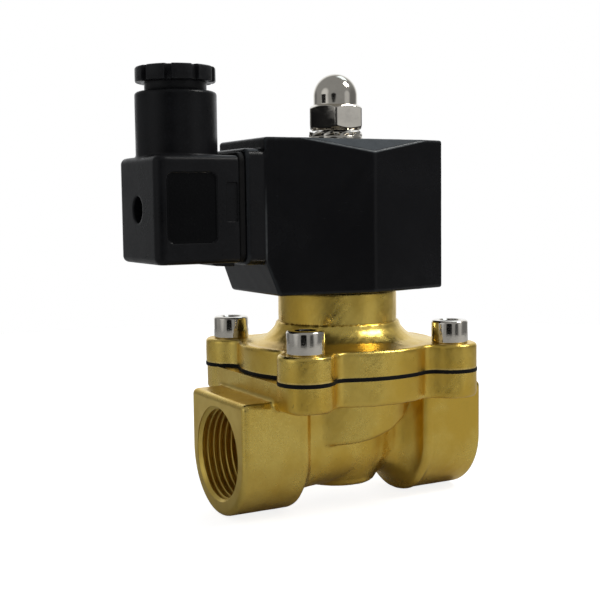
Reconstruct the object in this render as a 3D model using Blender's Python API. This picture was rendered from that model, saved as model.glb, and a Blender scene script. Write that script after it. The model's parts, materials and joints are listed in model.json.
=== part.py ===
"""Two-way, normally closed, pilot operated solenoid valve with G3/4 ports.

The frame's origin is where the pipe axis crosses the stem axis.  X runs along
the flow, the inlet port is at -X, the outlet port at +X, and +Z points up the
stem towards the coil and the acorn nut.  Units are metres.
"""
import bpy
import bmesh
from math import acos, asin, atan2, cos, hypot, pi, radians, sin, sqrt
from mathutils import Matrix, Vector

MM = 0.001

# ---------------------------------------------------------------- dimensions
# All driving dimensions are in millimetres.
PORT_END = 37.95          # pipe axis: centre to each port face
BLOCK_IN_L = -18.7        # inner end of the inlet block
BLOCK_IN_R = 18.1         # inner end of the outlet block
BLOCK_R = 16.8            # half width and lower radius of a port block
BLOCK_TOP = 15.7          # flat top of the port blocks
THREAD_MINOR = 12.05      # G3/4 minor radius
PORT_MOUTH = 13.7         # countersink at the mouth
PORT_DEPTH = 18.0

FLANGE_BOT = 13.75        # body flange
FLANGE_TOP = 20.7
WEB_R = 28.0              # round web between the ears
EAR_X, EAR_Y = 22.7, 22.3
EAR_R = 7.4
EAR_FILLET = 4.0
CHAMBER_R = 17.5          # main chamber under the diaphragm
CHAMBER_WALL_R = 20.2
SEAT_TOP = 14.5
SEAT_OUT, SEAT_BORE = 11.5, 9.0

RIM_BOT, RIM_TOP = 20.84, 21.42        # clamped rim of the diaphragm
BONNET_BOT, BONNET_FLANGE_TOP = 21.56, 28.47
NECK_R, NECK_TOP = 16.64, 42.65
PILOT_CEIL = 27.5

SCREW_HEAD_R, SCREW_HEAD_H = 5.0, 5.85  # M6 socket head cap screws
SCREW_R, SCREW_HOLE_R = 2.9, 3.3

TUBE_IN, TUBE_OUT = 6.8, 7.5           # enclosing tube of the plunger
PLUNGER_R = 6.4
PLUNGER_LIFT = 5.0
DIAPHRAGM_LIFT = 4.0
CORE_BOT = 59.3

COIL_BOT, COIL_TOP = 42.95, 84.0       # hexagonal moulded coil
COIL_A, COIL_B, COIL_C = 25.76, 14.7, 20.5
COIL_BORE = 8.2
SIDE_X = -29.2                         # connector side face of the coil
BOSS_X = -34.6                         # outer face of the connector boss

CON_BACK, CON_FRONT = -58.9, -36.6     # plug housing
CON_W = 13.75
CON_BOT, CON_TOP = 52.0, 79.3
CON_MID = 65.8                         # height of its fixing screw
GLAND_X = -47.75                       # axis of the cable gland
GLAND_R, GLAND_TOP = 10.55, 95.8
NUT_R, NUT_BOT, NUT_TOP = 10.34, 98.2, 102.2
NUT_LOBES = 9
NUT_PHASE = 37.2          # turns the grip's grooves to where they stand when tight, degrees

HEX_AF = 14.3                          # acorn nut
HEX_BOT, HEX_TOP = 87.0, 93.9
DOME_R, DOME_TOP = 6.13, 102.65

for old in list(bpy.data.objects):
    bpy.data.objects.remove(old, do_unlink=True)

scene = bpy.context.scene


# ----------------------------------------------------------------- materials
def material(name, colour, metallic, rough):
    mat = bpy.data.materials.new(name)
    mat.use_nodes = True
    b = mat.node_tree.nodes["Principled BSDF"]
    b.inputs["Base Color"].default_value = (*colour, 1.0)
    b.inputs["Metallic"].default_value = metallic
    b.inputs["Roughness"].default_value = rough
    return mat


BRASS = material("cast_brass", (0.62, 0.43, 0.15), 1.0, 0.38)
BRASS_TURNED = material("turned_brass", (0.70, 0.50, 0.20), 1.0, 0.22)
STEEL = material("stainless_steel", (0.60, 0.58, 0.55), 1.0, 0.18)
SOFT_IRON = material("soft_iron", (0.42, 0.41, 0.40), 1.0, 0.35)
BLACK_COIL = material("coil_plastic", (0.018, 0.018, 0.020), 0.0, 0.35)
BLACK_PLUG = material("plug_plastic", (0.022, 0.023, 0.025), 0.0, 0.45)
GREY_PLASTIC = material("insert_plastic", (0.20, 0.20, 0.21), 0.0, 0.5)
RUBBER = material("rubber", (0.012, 0.012, 0.012), 0.0, 0.7)
COPPER = material("copper", (0.72, 0.33, 0.18), 1.0, 0.3)
TINNED = material("tinned_brass", (0.66, 0.64, 0.60), 1.0, 0.28)
BOBBIN = material("bobbin_plastic", (0.55, 0.53, 0.48), 0.0, 0.5)


# ------------------------------------------------------------------- helpers
def from_bm(bm, name, mat=None):
    bmesh.ops.remove_doubles(bm, verts=bm.verts, dist=1e-7)
    bmesh.ops.recalc_face_normals(bm, faces=bm.faces)
    me = bpy.data.meshes.new(name)
    bm.to_mesh(me)
    bm.free()
    ob = bpy.data.objects.new(name, me)
    scene.collection.objects.link(ob)
    if mat:
        me.materials.append(mat)
    return ob


def axis_matrix(axis, origin):
    """Maps a local +Z profile onto the given axis through origin (mm)."""
    q = Vector((0, 0, 1)).rotation_difference(Vector(axis))
    return Matrix.Translation(Vector(origin) * MM) @ q.to_matrix().to_4x4()


def lathe(name, profile, n=32, mat=None, closed=False, axis=(0, 0, 1), origin=(0, 0, 0), phase=0.0):
    """Turned solid from (radius, height) points in mm.  An open profile
    starts and ends on the axis; a closed one makes a ring."""
    bm = bmesh.new()
    rings = []
    for r, z in profile:
        if r < 1e-6:
            rings.append([bm.verts.new((0, 0, z * MM))])
        else:
            rings.append([bm.verts.new((r * MM * cos(2 * pi * k / n + phase), r * MM * sin(2 * pi * k / n + phase), z * MM))
                          for k in range(n)])
    pairs = list(zip(rings, rings[1:]))
    if closed:
        pairs.append((rings[-1], rings[0]))
    for a, b in pairs:
        for k in range(n):
            j = (k + 1) % n
            if len(a) == 1 and len(b) == 1:
                break
            if len(a) == 1:
                bm.faces.new((a[0], b[k], b[j]))
            elif len(b) == 1:
                bm.faces.new((a[k], a[j], b[0]))
            else:
                bm.faces.new((a[k], a[j], b[j], b[k]))
    bm.transform(axis_matrix(axis, origin))
    return from_bm(bm, name, mat)


def prism(name, outline, lo, hi, mat=None, axis="Z"):
    """Extrudes a closed outline (mm) between lo and hi along an axis.  The
    outline's two numbers are (x, y), (y, z) or (x, z) for Z, X and Y."""
    place = {"Z": lambda a, b, h: (a, b, h), "X": lambda a, b, h: (h, a, b), "Y": lambda a, b, h: (a, h, b)}[axis]
    bm = bmesh.new()
    low = [bm.verts.new([c * MM for c in place(a, b, lo)]) for a, b in outline]
    top = [bm.verts.new([c * MM for c in place(a, b, hi)]) for a, b in outline]
    bm.faces.new(low[::-1])
    bm.faces.new(top)
    n = len(outline)
    for k in range(n):
        j = (k + 1) % n
        bm.faces.new((low[k], low[j], top[j], top[k]))
    return from_bm(bm, name, mat)


def box(name, lo, hi, mat=None):
    return prism(name, [(lo[0], lo[1]), (hi[0], lo[1]), (hi[0], hi[1]), (lo[0], hi[1])], lo[2], hi[2], mat)


def arc(cx, cy, r, a0, a1, n):
    return [(cx + r * cos(a0 + (a1 - a0) * k / n), cy + r * sin(a0 + (a1 - a0) * k / n)) for k in range(n + 1)]


def round_rect(x0, y0, x1, y1, r, n=3):
    pts = []
    for cx, cy, a in ((x1 - r, y1 - r, 0), (x0 + r, y1 - r, pi / 2), (x0 + r, y0 + r, pi), (x1 - r, y0 + r, 3 * pi / 2)):
        pts += arc(cx, cy, r, a, a + pi / 2, n)
    return pts


def combine(ob, other, how):
    """Applies one exact boolean and drops the second solid."""
    mod = ob.modifiers.new(how, "BOOLEAN")
    mod.operation = how
    mod.solver = "EXACT"
    mod.object = other
    graph = bpy.context.evaluated_depsgraph_get()
    me = bpy.data.meshes.new_from_object(ob.evaluated_get(graph))
    ob.modifiers.clear()
    old = ob.data
    ob.data = me
    bpy.data.meshes.remove(old)
    bpy.data.objects.remove(other, do_unlink=True)
    return ob


def join(ob, *others):
    for o in others:
        combine(ob, o, "UNION")
    return ob


def cut(ob, *others):
    for o in others:
        combine(ob, o, "DIFFERENCE")
    return ob


def finish(ob, name, origin=(0, 0, 0), angle=35.0):
    """Names the solid, cleans it and puts its origin on its own axis."""
    bm = bmesh.new()
    bm.from_mesh(ob.data)
    bmesh.ops.remove_doubles(bm, verts=bm.verts, dist=2e-6)
    bmesh.ops.dissolve_limit(bm, angle_limit=radians(0.05), verts=bm.verts, edges=bm.edges)
    bmesh.ops.triangulate(bm, faces=[f for f in bm.faces if len(f.verts) > 4])
    bmesh.ops.translate(bm, verts=bm.verts, vec=-Vector(origin) * MM)
    bm.to_mesh(ob.data)
    bm.free()
    ob.location = Vector(origin) * MM
    ob.name = name
    ob.data.name = name
    ob.data.shade_smooth()
    ob.data.set_sharp_from_angle(angle=radians(angle))
    return ob


def spring(name, radius, wire, lo, hi, turns, mat, per_turn=12, sides=5):
    """Compression spring on the stem axis with closed end coils."""
    steps = int(turns * per_turn)
    free = hi - lo - 2 * wire
    bm = bmesh.new()
    rows = []
    for k in range(steps + 1):
        t = k / steps
        a = 2 * pi * turns * t
        # the first and last turn lie almost flat on their seats
        lead = 1.0 / turns
        if t < lead:
            s = 0.5 * (t / lead) ** 2 * lead
        elif t > 1 - lead:
            s = (1 - lead) - 0.5 * ((1 - t) / lead) ** 2 * lead
        else:
            s = t - 0.5 * lead
        z = lo + wire + free * s / (1 - lead)
        row = []
        for m in range(sides):
            b = 2 * pi * m / sides
            rr = radius + wire * cos(b)
            row.append(bm.verts.new((rr * cos(a) * MM, rr * sin(a) * MM, (z + wire * sin(b)) * MM)))
        rows.append(row)
    for a, b in zip(rows, rows[1:]):
        for m in range(sides):
            j = (m + 1) % sides
            bm.faces.new((a[m], a[j], b[j], b[m]))
    bm.faces.new(rows[0])
    bm.faces.new(rows[-1][::-1])
    return from_bm(bm, name, mat)


def hexagon(af, phase=0.0):
    r = af / 2 / cos(pi / 6)
    return [(r * cos(pi / 3 * k + phase), r * sin(pi / 3 * k + phase)) for k in range(6)]


# ------------------------------------------------------------- flange outline
def flange_outline(inset=0.0, n_web=5, n_ear=8, n_fil=2):
    """Four ears on a round web, with concave fillets between them."""
    web, ear, fil = WEB_R - inset, EAR_R - inset, EAR_FILLET + inset
    pts = []
    for k in range(4):
        ex = EAR_X * (1 if k in (0, 3) else -1)
        ey = EAR_Y * (1 if k < 2 else -1)
        base = atan2(ey, ex)
        d = hypot(ex, ey)
        rc = web + fil
        off = acos((rc * rc + d * d - (ear + fil) ** 2) / (2 * rc * d))
        # leading fillet, ear, trailing fillet, counter-clockwise
        c0 = (rc * cos(base - off), rc * sin(base - off))
        c1 = (rc * cos(base + off), rc * sin(base + off))
        to_web = atan2(-c0[1], -c0[0])
        to_ear = atan2(ey - c0[1], ex - c0[0])
        sweep = (to_ear - to_web + pi) % (2 * pi) - pi
        pts += arc(c0[0], c0[1], fil, to_web, to_web + sweep, n_fil)
        a0 = atan2(c0[1] - ey, c0[0] - ex)
        a1 = atan2(c1[1] - ey, c1[0] - ex)
        sweep = (a1 - a0) % (2 * pi)
        pts += arc(ex, ey, ear, a0, a0 + sweep, n_ear)[1:-1]
        to_ear = atan2(ey - c1[1], ex - c1[0])
        to_web = atan2(-c1[1], -c1[0])
        sweep = (to_web - to_ear + pi) % (2 * pi) - pi
        pts += arc(c1[0], c1[1], fil, to_ear, to_ear + sweep, n_fil)
        # web arc to the next ear
        nx = EAR_X * (1 if (k + 1) % 4 in (0, 3) else -1)
        ny = EAR_Y * (1 if (k + 1) % 4 < 2 else -1)
        s0 = base + off
        span = ((atan2(ny, nx) - off) - s0) % (2 * pi)
        pts += arc(0, 0, web, s0, s0 + span, n_web)[1:-1]
    return pts


EARS = [(EAR_X, EAR_Y), (-EAR_X, EAR_Y), (-EAR_X, -EAR_Y), (EAR_X, -EAR_Y)]


def block_outline(r=BLOCK_R, top=BLOCK_TOP, corner=1.6, n=14):
    """Port block section (y, z): flat top, upright sides, round bottom."""
    pts = arc(r - corner, top - corner, corner, 0, pi / 2, 2)
    pts += arc(-r + corner, top - corner, corner, pi / 2, pi, 2)
    pts += arc(0, 0, r, pi, 2 * pi, n)
    return pts


def chamber_floor(x):
    """Height of the underside of the chamber wall, deeper on the inlet side."""
    return 3.5 + 0.23 * x + 0.0085 * x * x


# ---------------------------------------------------------------- valve body
def make_body():
    flange = prism("flange", flange_outline(), FLANGE_BOT, FLANGE_TOP, BRASS)

    # chamber wall under the flange, closed by a sloping floor
    n = 28
    bm = bmesh.new()
    low, top = [], []
    for k in range(n):
        x, y = CHAMBER_WALL_R * cos(2 * pi * k / n), CHAMBER_WALL_R * sin(2 * pi * k / n)
        low.append(bm.verts.new((x * MM, y * MM, chamber_floor(x) * MM)))
        top.append(bm.verts.new((x * MM, y * MM, 15.0 * MM)))
    mid = bm.verts.new((0, 0, chamber_floor(0) * MM))
    for k in range(n):
        j = (k + 1) % n
        bm.faces.new((low[k], low[j], top[j], top[k]))
        bm.faces.new((low[j], low[k], mid))
    bm.faces.new(top)
    wall = from_bm(bm, "chamber_wall")

    # flow duct between the blocks: sections (x, half width, floor)
    sections = [(-20.0, 15.4, -12.6), (-15.0, 15.3, -11.6), (-10.0, 15.0, -11.2), (-4.0, 14.2, -11.2), (2.0, 13.0, -11.0),
                (7.0, 11.4, -10.6), (11.5, 10.2, -10.6), (14.5, 10.4, -12.0), (17.0, 12.6, -14.4), (19.6, 15.6, -16.0)]
    bm = bmesh.new()
    rings = []
    for x, w, low_z in sections:
        ring = [(w, 11.0), (-w, 11.0)]
        m = 10
        for k in range(m + 1):
            a = pi + pi * k / m
            c, s = cos(a), sin(a)
            # a slightly squared lower half
            ring.append((w * (abs(c) ** 0.86) * (1 if c > 0 else -1), low_z * (abs(s) ** 0.86)))
        rings.append([bm.verts.new((x * MM, y * MM, z * MM)) for y, z in ring])
    for a, b in zip(rings, rings[1:]):
        for k in range(len(a)):
            j = (k + 1) % len(a)
            bm.faces.new((a[k], a[j], b[j], b[k]))
    bm.faces.new(rings[0][::-1])
    bm.faces.new(rings[-1])
    duct = from_bm(bm, "duct")

    cup = lathe("cup", [(0, -12.5), (7.2, -12.4), (9.3, -11.4), (10.6, -9.0), (11.4, -5.0), (11.8, 0.0), (11.8, 6.0), (0, 6.0)], 24)
    block_l = prism("block_l", block_outline(), -PORT_END, BLOCK_IN_L, axis="X")
    block_r = prism("block_r", block_outline(), BLOCK_IN_R, PORT_END, axis="X")
    body = join(flange, wall, duct, cup, block_l, block_r)

    # machined inside
    n = 28
    bm = bmesh.new()
    lo_o, hi_o, lo_i, hi_i = [], [], [], []
    for k in range(n):
        c, s = cos(2 * pi * k / n), sin(2 * pi * k / n)
        xo, xi = CHAMBER_R * c, SEAT_OUT * c
        lo_o.append(bm.verts.new((xo * MM, CHAMBER_R * s * MM, (chamber_floor(xo) + 2.4) * MM)))
        hi_o.append(bm.verts.new((xo * MM, CHAMBER_R * s * MM, (SEAT_TOP + 0.4) * MM)))
        lo_i.append(bm.verts.new((xi * MM, SEAT_OUT * s * MM, (chamber_floor(xi) + 2.4) * MM)))
        hi_i.append(bm.verts.new((xi * MM, SEAT_OUT * s * MM, (SEAT_TOP + 0.4) * MM)))
    for k in range(n):
        j = (k + 1) % n
        for a, b in ((lo_o, hi_o), (hi_o, hi_i), (hi_i, lo_i), (lo_i, lo_o)):
            bm.faces.new((a[k], a[j], b[j], b[k]))
    annulus = from_bm(bm, "annulus")
    over_seat = lathe("over_seat", [(0, SEAT_TOP), (CHAMBER_R, SEAT_TOP), (CHAMBER_R, 22.0), (0, 22.0)], 28)
    seat_bore = lathe("seat_bore", [(0, -9.0), (5.5, -8.6), (8.2, -6.4), (SEAT_BORE, -3.0), (SEAT_BORE, SEAT_TOP + 1), (0, SEAT_TOP + 1)], 24)
    X = (1, 0, 0)
    outlet = lathe("outlet", [(0, 0), (6.8, 0), (6.8, 24.0), (0, 24.0)], 16, axis=X, origin=(0, 0, -3.9))
    inlet = lathe("inlet", [(0, -24.0), (7.0, -24.0), (7.0, -12.7), (0, -12.7)], 16, axis=X, origin=(0, 0, 2.4))
    e, d = PORT_END, PORT_DEPTH
    port_r = lathe("port_r", [(0, e - d), (THREAD_MINOR - 3.5, e - d), (THREAD_MINOR, e - d + 1.6), (THREAD_MINOR, e - 1.5),
                              (PORT_MOUTH, e), (PORT_MOUTH, e + 1), (0, e + 1)], 28, axis=X)
    port_l = lathe("port_l", [(0, e - d), (THREAD_MINOR - 3.5, e - d), (THREAD_MINOR, e - d + 1.6), (THREAD_MINOR, e - 1.5),
                              (PORT_MOUTH, e), (PORT_MOUTH, e + 1), (0, e + 1)], 28, axis=(-1, 0, 0))
    holes = [lathe("hole", [(0, 14.6), (SCREW_HOLE_R, 15.4), (SCREW_HOLE_R, 22), (0, 22)], 12, origin=(x, y, 0)) for x, y in EARS]
    cut(body, annulus, over_seat, seat_bore, outlet, inlet, port_r, port_l, *holes)
    return finish(body, "valve_body")


make_body()


# -------------------------------------------------------------------- bonnet
def make_bonnet():
    flange = prism("flange", flange_outline(), BONNET_BOT, BONNET_FLANGE_TOP, BRASS)
    cone = lathe("cone", [(0, 24.0), (23.6, 24.0), (23.4, 28.8), (21.4, 29.5), (19.5, 30.8), (18.0, 32.4), (17.1, 34.0),
                          (NECK_R, 34.3), (NECK_R, NECK_TOP - 0.5), (NECK_R - 0.5, NECK_TOP), (0, NECK_TOP)], 36)
    bonnet = join(flange, cone)
    inside = lathe("inside", [(0, 21.0), (CHAMBER_R, 21.0), (CHAMBER_R, PILOT_CEIL - 1.5), (CHAMBER_R - 1.5, PILOT_CEIL), (7.85, PILOT_CEIL),
                              (7.85, 34.2), (9.95, 34.2), (9.95, 36.0), (12.4, 36.0), (12.4, 43.5), (0, 43.5)], 24)
    holes = [lathe("hole", [(0, 21), (SCREW_HOLE_R, 21), (SCREW_HOLE_R, 29), (0, 29)], 12, origin=(x, y, 0)) for x, y in EARS]
    cut(bonnet, inside, *holes)
    return finish(bonnet, "bonnet")


make_bonnet()


# ----------------------------------------------------------- bonnet screws x4
def make_screw(name, x, y):
    z0 = BONNET_FLANGE_TOP + 0.3
    z1 = z0 + SCREW_HEAD_H
    body = lathe(name, [(0, 15.6), (SCREW_R - 0.7, 15.6), (SCREW_R, 16.3), (SCREW_R, z0), (SCREW_HEAD_R, z0), (SCREW_HEAD_R, z1 - 0.55),
                        (SCREW_HEAD_R - 0.55, z1), (0, z1)], 18, STEEL)
    cut(body, prism("socket", hexagon(5.0, pi / 6), z1 - 3.2, z1 + 1))
    body.location = (0, 0, 0)
    ob = finish(body, name)
    ob.location = Vector((x, y, 0)) * MM
    return ob


for i, (x, y) in enumerate(EARS):
    make_screw("bonnet_screw_%d" % (i + 1), x, y)


# ----------------------------------------------------------------- diaphragm
def make_diaphragm():
    """Rubber sheet: flat clamped rim, one rolled fold and a thick centre."""
    rim = prism("rim", flange_outline(0.12), RIM_BOT, RIM_TOP, RUBBER)
    middle = lathe("middle", [(0, 20), (16.4, 20), (16.4, 22), (0, 22)], 28)
    holes = [lathe("hole", [(0, 20), (SCREW_HOLE_R, 20), (SCREW_HOLE_R, 22), (0, 22)], 12, origin=(x, y, 0)) for x, y in EARS]
    cut(rim, middle, *holes)
    sheet = lathe("sheet", [(17.0, RIM_BOT + 0.02), (17.0, RIM_TOP - 0.02), (15.9, RIM_TOP - 0.05), (14.6, 20.4), (13.1, 18.1), (11.6, 17.3), (3.6, 17.3),
                            (3.6, 14.85), (11.3, 14.85), (12.6, 15.7), (13.9, 17.6), (15.2, 20.0), (16.0, RIM_BOT + 0.05)], 28, closed=True)
    join(rim, sheet)
    return finish(rim, "diaphragm")


make_diaphragm()
finish(lathe("diaphragm_plate", [(3.6, 17.6), (9.2, 17.6), (9.6, 18.0), (9.6, 18.8), (9.3, 19.1), (3.6, 19.1)], 20, BRASS_TURNED, closed=True), "diaphragm_plate")
finish(lathe("diaphragm_washer", [(3.6, 13.1), (6.0, 13.1), (6.4, 13.5), (6.4, 14.5), (3.6, 14.5)], 18, BRASS_TURNED, closed=True), "diaphragm_washer")
finish(lathe("pilot_seat", [(1.0, 11.2), (4.6, 11.2), (5.0, 11.6), (5.0, 12.8), (3.25, 12.8), (3.25, 19.6), (2.2, 20.6), (1.0, 20.6)], 14, STEEL, closed=True),
       "pilot_seat")
finish(spring("diaphragm_spring", 8.5, 0.5, 19.4, 27.2, 4.0, STEEL), "diaphragm_spring")

# ---------------------------------------------------------------------- stem
finish(lathe("stem_tube", [(TUBE_IN, 27.8), (TUBE_OUT, 27.8), (TUBE_OUT, 36.3), (12.0, 36.3), (12.0, 37.8), (TUBE_OUT, 37.8), (TUBE_OUT, 77.0), (TUBE_IN, 77.0)],
             20, STEEL, closed=True), "stem_tube")
ORING = [(8.85 + 0.75 * cos(2 * pi * k / 6), 35.12 + 0.75 * sin(2 * pi * k / 6)) for k in range(6)]
finish(lathe("stem_oring", ORING, 24, RUBBER, closed=True), "stem_oring")


def make_ring_nut():
    """Threaded ring that clamps the stem's flange, with two spanner slots."""
    ring = lathe("stem_ring_nut", [(7.9, 38.1), (12.1, 38.1), (12.1, 42.3), (7.9, 42.3)], 20, BRASS_TURNED, closed=True)
    cut(ring, box("slot", (-14, -1.2, 40.6), (14, 1.2, 44)))
    return finish(ring, "stem_ring_nut")


make_ring_nut()
finish(lathe("fixed_core", [(0, 61.5), (4.2, 61.5), (4.2, CORE_BOT), (4.8, CORE_BOT), (4.8, 60.9), (6.0, 60.9), (6.0, CORE_BOT), (6.5, CORE_BOT), (6.5, 77.3),
                            (TUBE_OUT, 77.3), (TUBE_OUT, 83.4), (3.9, 83.4), (3.9, 94.5), (3.2, 95.2), (0, 95.2)], 20, SOFT_IRON), "fixed_core")
finish(lathe("shading_ring", [(5.1, CORE_BOT + 0.1), (5.7, CORE_BOT + 0.1), (5.7, 60.6), (5.1, 60.6)], 20, COPPER, closed=True), "shading_ring")
finish(lathe("plunger", [(0, 23.8), (3.4, 23.8), (3.4, 21.2), (5.8, 21.2), (PLUNGER_R, 21.9), (PLUNGER_R, 53.4), (5.9, 54.0), (4.2, 54.0), (4.2, 40.0), (0, 40.0)],
             20, SOFT_IRON), "plunger")
finish(lathe("plunger_seal", [(0, 20.9), (2.8, 20.9), (3.1, 21.2), (3.1, 23.5), (0, 23.5)], 14, RUBBER), "plunger_seal")
finish(spring("plunger_spring", 3.3, 0.45, 40.3, 61.2, 6.0, STEEL, per_turn=10), "plunger_spring")


# ---------------------------------------------------------------------- coil
def make_coil():
    """Moulded hexagonal coil with a thicker side that carries the plug."""
    a, b, c = COIL_A, COIL_B, COIL_C
    hexa = prism("coil", [(-a, -b), (0, -c), (a, -b), (a, b), (0, c), (-a, b)], COIL_BOT, COIL_TOP, BLACK_COIL)
    # each long ridge ends in a sloping triangular facet at the top
    for s in (-1, 1):
        edge = b + (c - b) * (a - 20.0) / a
        bm = bmesh.new()
        p = [(-20.0, s * edge, COIL_TOP), (20.0, s * edge, COIL_TOP), (0, s * c, 80.3)]
        out = Vector(p[1]) - Vector(p[0])
        up = (Vector(p[2]) - (Vector(p[0]) + Vector(p[1])) / 2)
        nrm = out.cross(up).normalized()
        if nrm.z < 0:
            nrm.negate()
        mid = (Vector(p[0]) + Vector(p[1])) / 2
        quad = [mid + out.normalized() * u * 40 + up.normalized() * v for u, v in ((-1, -0.0), (1, -0.0), (1, 14), (-1, 14))]
        quad[0] -= up.normalized() * 6
        quad[1] -= up.normalized() * 6
        low = [bm.verts.new(q * MM) for q in quad]
        high = [bm.verts.new((q + nrm * 12) * MM) for q in quad]
        bm.faces.new(low)
        bm.faces.new(high[::-1])
        for k in range(4):
            j = (k + 1) % 4
            bm.faces.new((low[k], low[j], high[j], high[k]))
        cut(hexa, from_bm(bm, "facet"))
    side = prism("side", [(SIDE_X, 51.8), (-a, COIL_BOT + 0.02), (-15, COIL_BOT + 0.02), (-15, COIL_TOP - 0.02), (SIDE_X, COIL_TOP - 0.02)], -14.5, 14.5, axis="Y")
    boss = prism("boss", round_rect(-14.0, 51.2, 14.0, 81.2, 2.6), BOSS_X, -26.0, axis="X")
    join(hexa, side, boss)
    bore = lathe("bore", [(0, 42), (COIL_BORE, 42), (COIL_BORE, 85), (0, 85)], 24)
    cavity = lathe("cavity", [(0, 46.5), (17.2, 46.5), (17.2, 80.5), (0, 80.5)], 24)
    thread = lathe("thread", [(0, -35), (1.8, -35), (1.8, -30.6), (0, -30.6)], 14, axis=(1, 0, 0), origin=(0, 0, CON_MID))
    slots = [box("slot", (-35, s * 9.0 - 0.7, CON_MID - 3.45), (-30.7, s * 9.0 + 0.7, CON_MID + 3.45)) for s in (-1, 1)]
    slots.append(box("slot", (-35, -3.45, 57.1 - 0.7), (-30.7, 3.45, 57.1 + 0.7)))
    cut(hexa, bore, cavity, thread, *slots)
    return finish(hexa, "coil_housing", angle=20)


make_coil()
finish(lathe("coil_bobbin", [(7.9, 48.6), (15.6, 48.6), (15.6, 50.0), (9.2, 50.0), (9.2, 77.0), (15.6, 77.0), (15.6, 78.4), (7.9, 78.4)], 20, BOBBIN, closed=True), "coil_bobbin")
finish(lathe("coil_winding", [(9.5, 50.3), (14.9, 50.3), (15.2, 50.9), (15.2, 76.1), (14.9, 76.7), (9.5, 76.7)], 20, COPPER, closed=True), "coil_winding")
finish(lathe("yoke_sleeve", [(15.95, 48.6), (16.85, 48.6), (16.85, 78.4), (15.95, 78.4)], 24, SOFT_IRON, closed=True), "yoke_sleeve")
finish(lathe("yoke_lower_plate", [(7.95, 46.8), (16.85, 46.8), (16.85, 48.3), (7.95, 48.3)], 24, SOFT_IRON, closed=True), "yoke_lower_plate")
finish(lathe("yoke_upper_plate", [(7.95, 78.7), (16.85, 78.7), (16.85, 80.2), (7.95, 80.2)], 24, SOFT_IRON, closed=True), "yoke_upper_plate")


def blade(name, y, z, ty, tz):
    """Flat plug blade with chamfered tip, standing out of the boss along -X."""
    tip = -44.6
    bm = bmesh.new()
    rows = []
    for x, s in ((-31.0, 1.0), (tip + 1.2, 1.0), (tip, 0.55)):
        rows.append([bm.verts.new((x * MM, (y + sy * ty * s / 2) * MM, (z + sz * tz * s / 2) * MM)) for sy, sz in ((-1, -1), (1, -1), (1, 1), (-1, 1))])
    for a, b in zip(rows, rows[1:]):
        for k in range(4):
            j = (k + 1) % 4
            bm.faces.new((a[k], a[j], b[j], b[k]))
    bm.faces.new(rows[0])
    bm.faces.new(rows[-1][::-1])
    return finish(from_bm(bm, name, TINNED), name)


blade("terminal_blade_1", -9.0, CON_MID, 0.8, 6.3)
blade("terminal_blade_2", 9.0, CON_MID, 0.8, 6.3)
blade("terminal_blade_earth", 0.0, 57.1, 6.3, 0.8)


# ------------------------------------------------------------------ connector
def make_gasket():
    g = prism("connector_gasket", round_rect(-13.4, 52.1, 13.4, 80.2, 2.4), -36.3, -34.9, RUBBER, axis="X")
    cut(g, prism("hole", round_rect(-10.6, 55.4, 10.6, 76.4, 1.5), -38, -33, axis="X"))
    return finish(g, "connector_gasket")


make_gasket()


def make_plug():
    """Angled plug housing: square shell open to the coil, gland tube on top."""
    # plan outline (x, y): rounded upright edges at the back
    r = 2.6
    plan = arc(CON_BACK + r, CON_W - r, r, pi / 2, pi, 3) + arc(CON_BACK + r, -CON_W + r, r, pi, 3 * pi / 2, 3)
    plan += [(CON_FRONT, -CON_W), (CON_FRONT, CON_W)]
    shell = prism("plug", plan, CON_BOT, CON_TOP, BLACK_PLUG)
    # side view trims the upper and lower long edges
    trim = prism("trim", round_rect(-CON_W, CON_BOT, CON_W, CON_TOP, 1.7), CON_BACK - 1, CON_FRONT + 1, axis="X")
    combine(shell, trim, "INTERSECT")
    lip = prism("lip", [(-44.0, 52.6), (-42.0, 51.2), (CON_FRONT - 0.01, 50.9), (CON_FRONT - 0.01, 52.6)], -10.5, 10.5, axis="Y")
    tube = lathe("tube", [(0, 76.0), (GLAND_R, 76.0), (GLAND_R, GLAND_TOP - 1.0), (GLAND_R - 1.0, GLAND_TOP), (0, GLAND_TOP)], 28, origin=(GLAND_X, 0, 0))
    join(shell, tube, lip)
    hollow = prism("hollow", round_rect(-11.6, 54.2, 11.6, 77.0, 1.0), -56.7, -35, axis="X")
    cut(shell, hollow)
    pillar = lathe("pillar", [(0, -57.8), (4.6, -57.8), (4.6, -47.2), (0, -47.2)], 14, axis=(1, 0, 0), origin=(0, 0, CON_MID))
    join(shell, pillar)
    bore = lathe("bore", [(0, 73.5), (7.0, 73.5), (7.0, 80.5), (8.35, 80.5), (8.35, 97), (0, 97)], 20, origin=(GLAND_X, 0, 0))
    screw = lathe("screw", [(0, -60), (3.4, -60), (3.4, -50.0), (1.85, -50.0), (1.85, -46), (0, -46)], 14, axis=(1, 0, 0), origin=(0, 0, CON_MID))
    cut(shell, bore, screw)
    return finish(shell, "connector_housing", origin=(GLAND_X, 0, CON_MID))


make_plug()


def make_insert():
    """Terminal block that grips the three blades."""
    ins = prism("insert", round_rect(-11.2, 54.6, 11.2, 76.6, 0.8), -46.5, -37.0, GREY_PLASTIC, axis="X")
    tools = [box("s", (-47, s * 9.0 - 0.8, CON_MID - 3.6), (-36, s * 9.0 + 0.8, CON_MID + 3.6)) for s in (-1, 1)]
    tools.append(box("s", (-47, -3.6, 57.1 - 0.8), (-36, 3.6, 57.1 + 0.8)))
    tools.append(lathe("h", [(0, -48), (1.9, -48), (1.9, -36), (0, -36)], 14, axis=(1, 0, 0), origin=(0, 0, CON_MID)))
    for y, z in TERMINAL_SCREWS:
        tools.append(lathe("t", [(0, -48), (1.65, -48), (1.65, -41.5), (0, -41.5)], 12, axis=(1, 0, 0), origin=(0, y, z)))
    cut(ins, *tools)
    return finish(ins, "terminal_insert")


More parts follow.
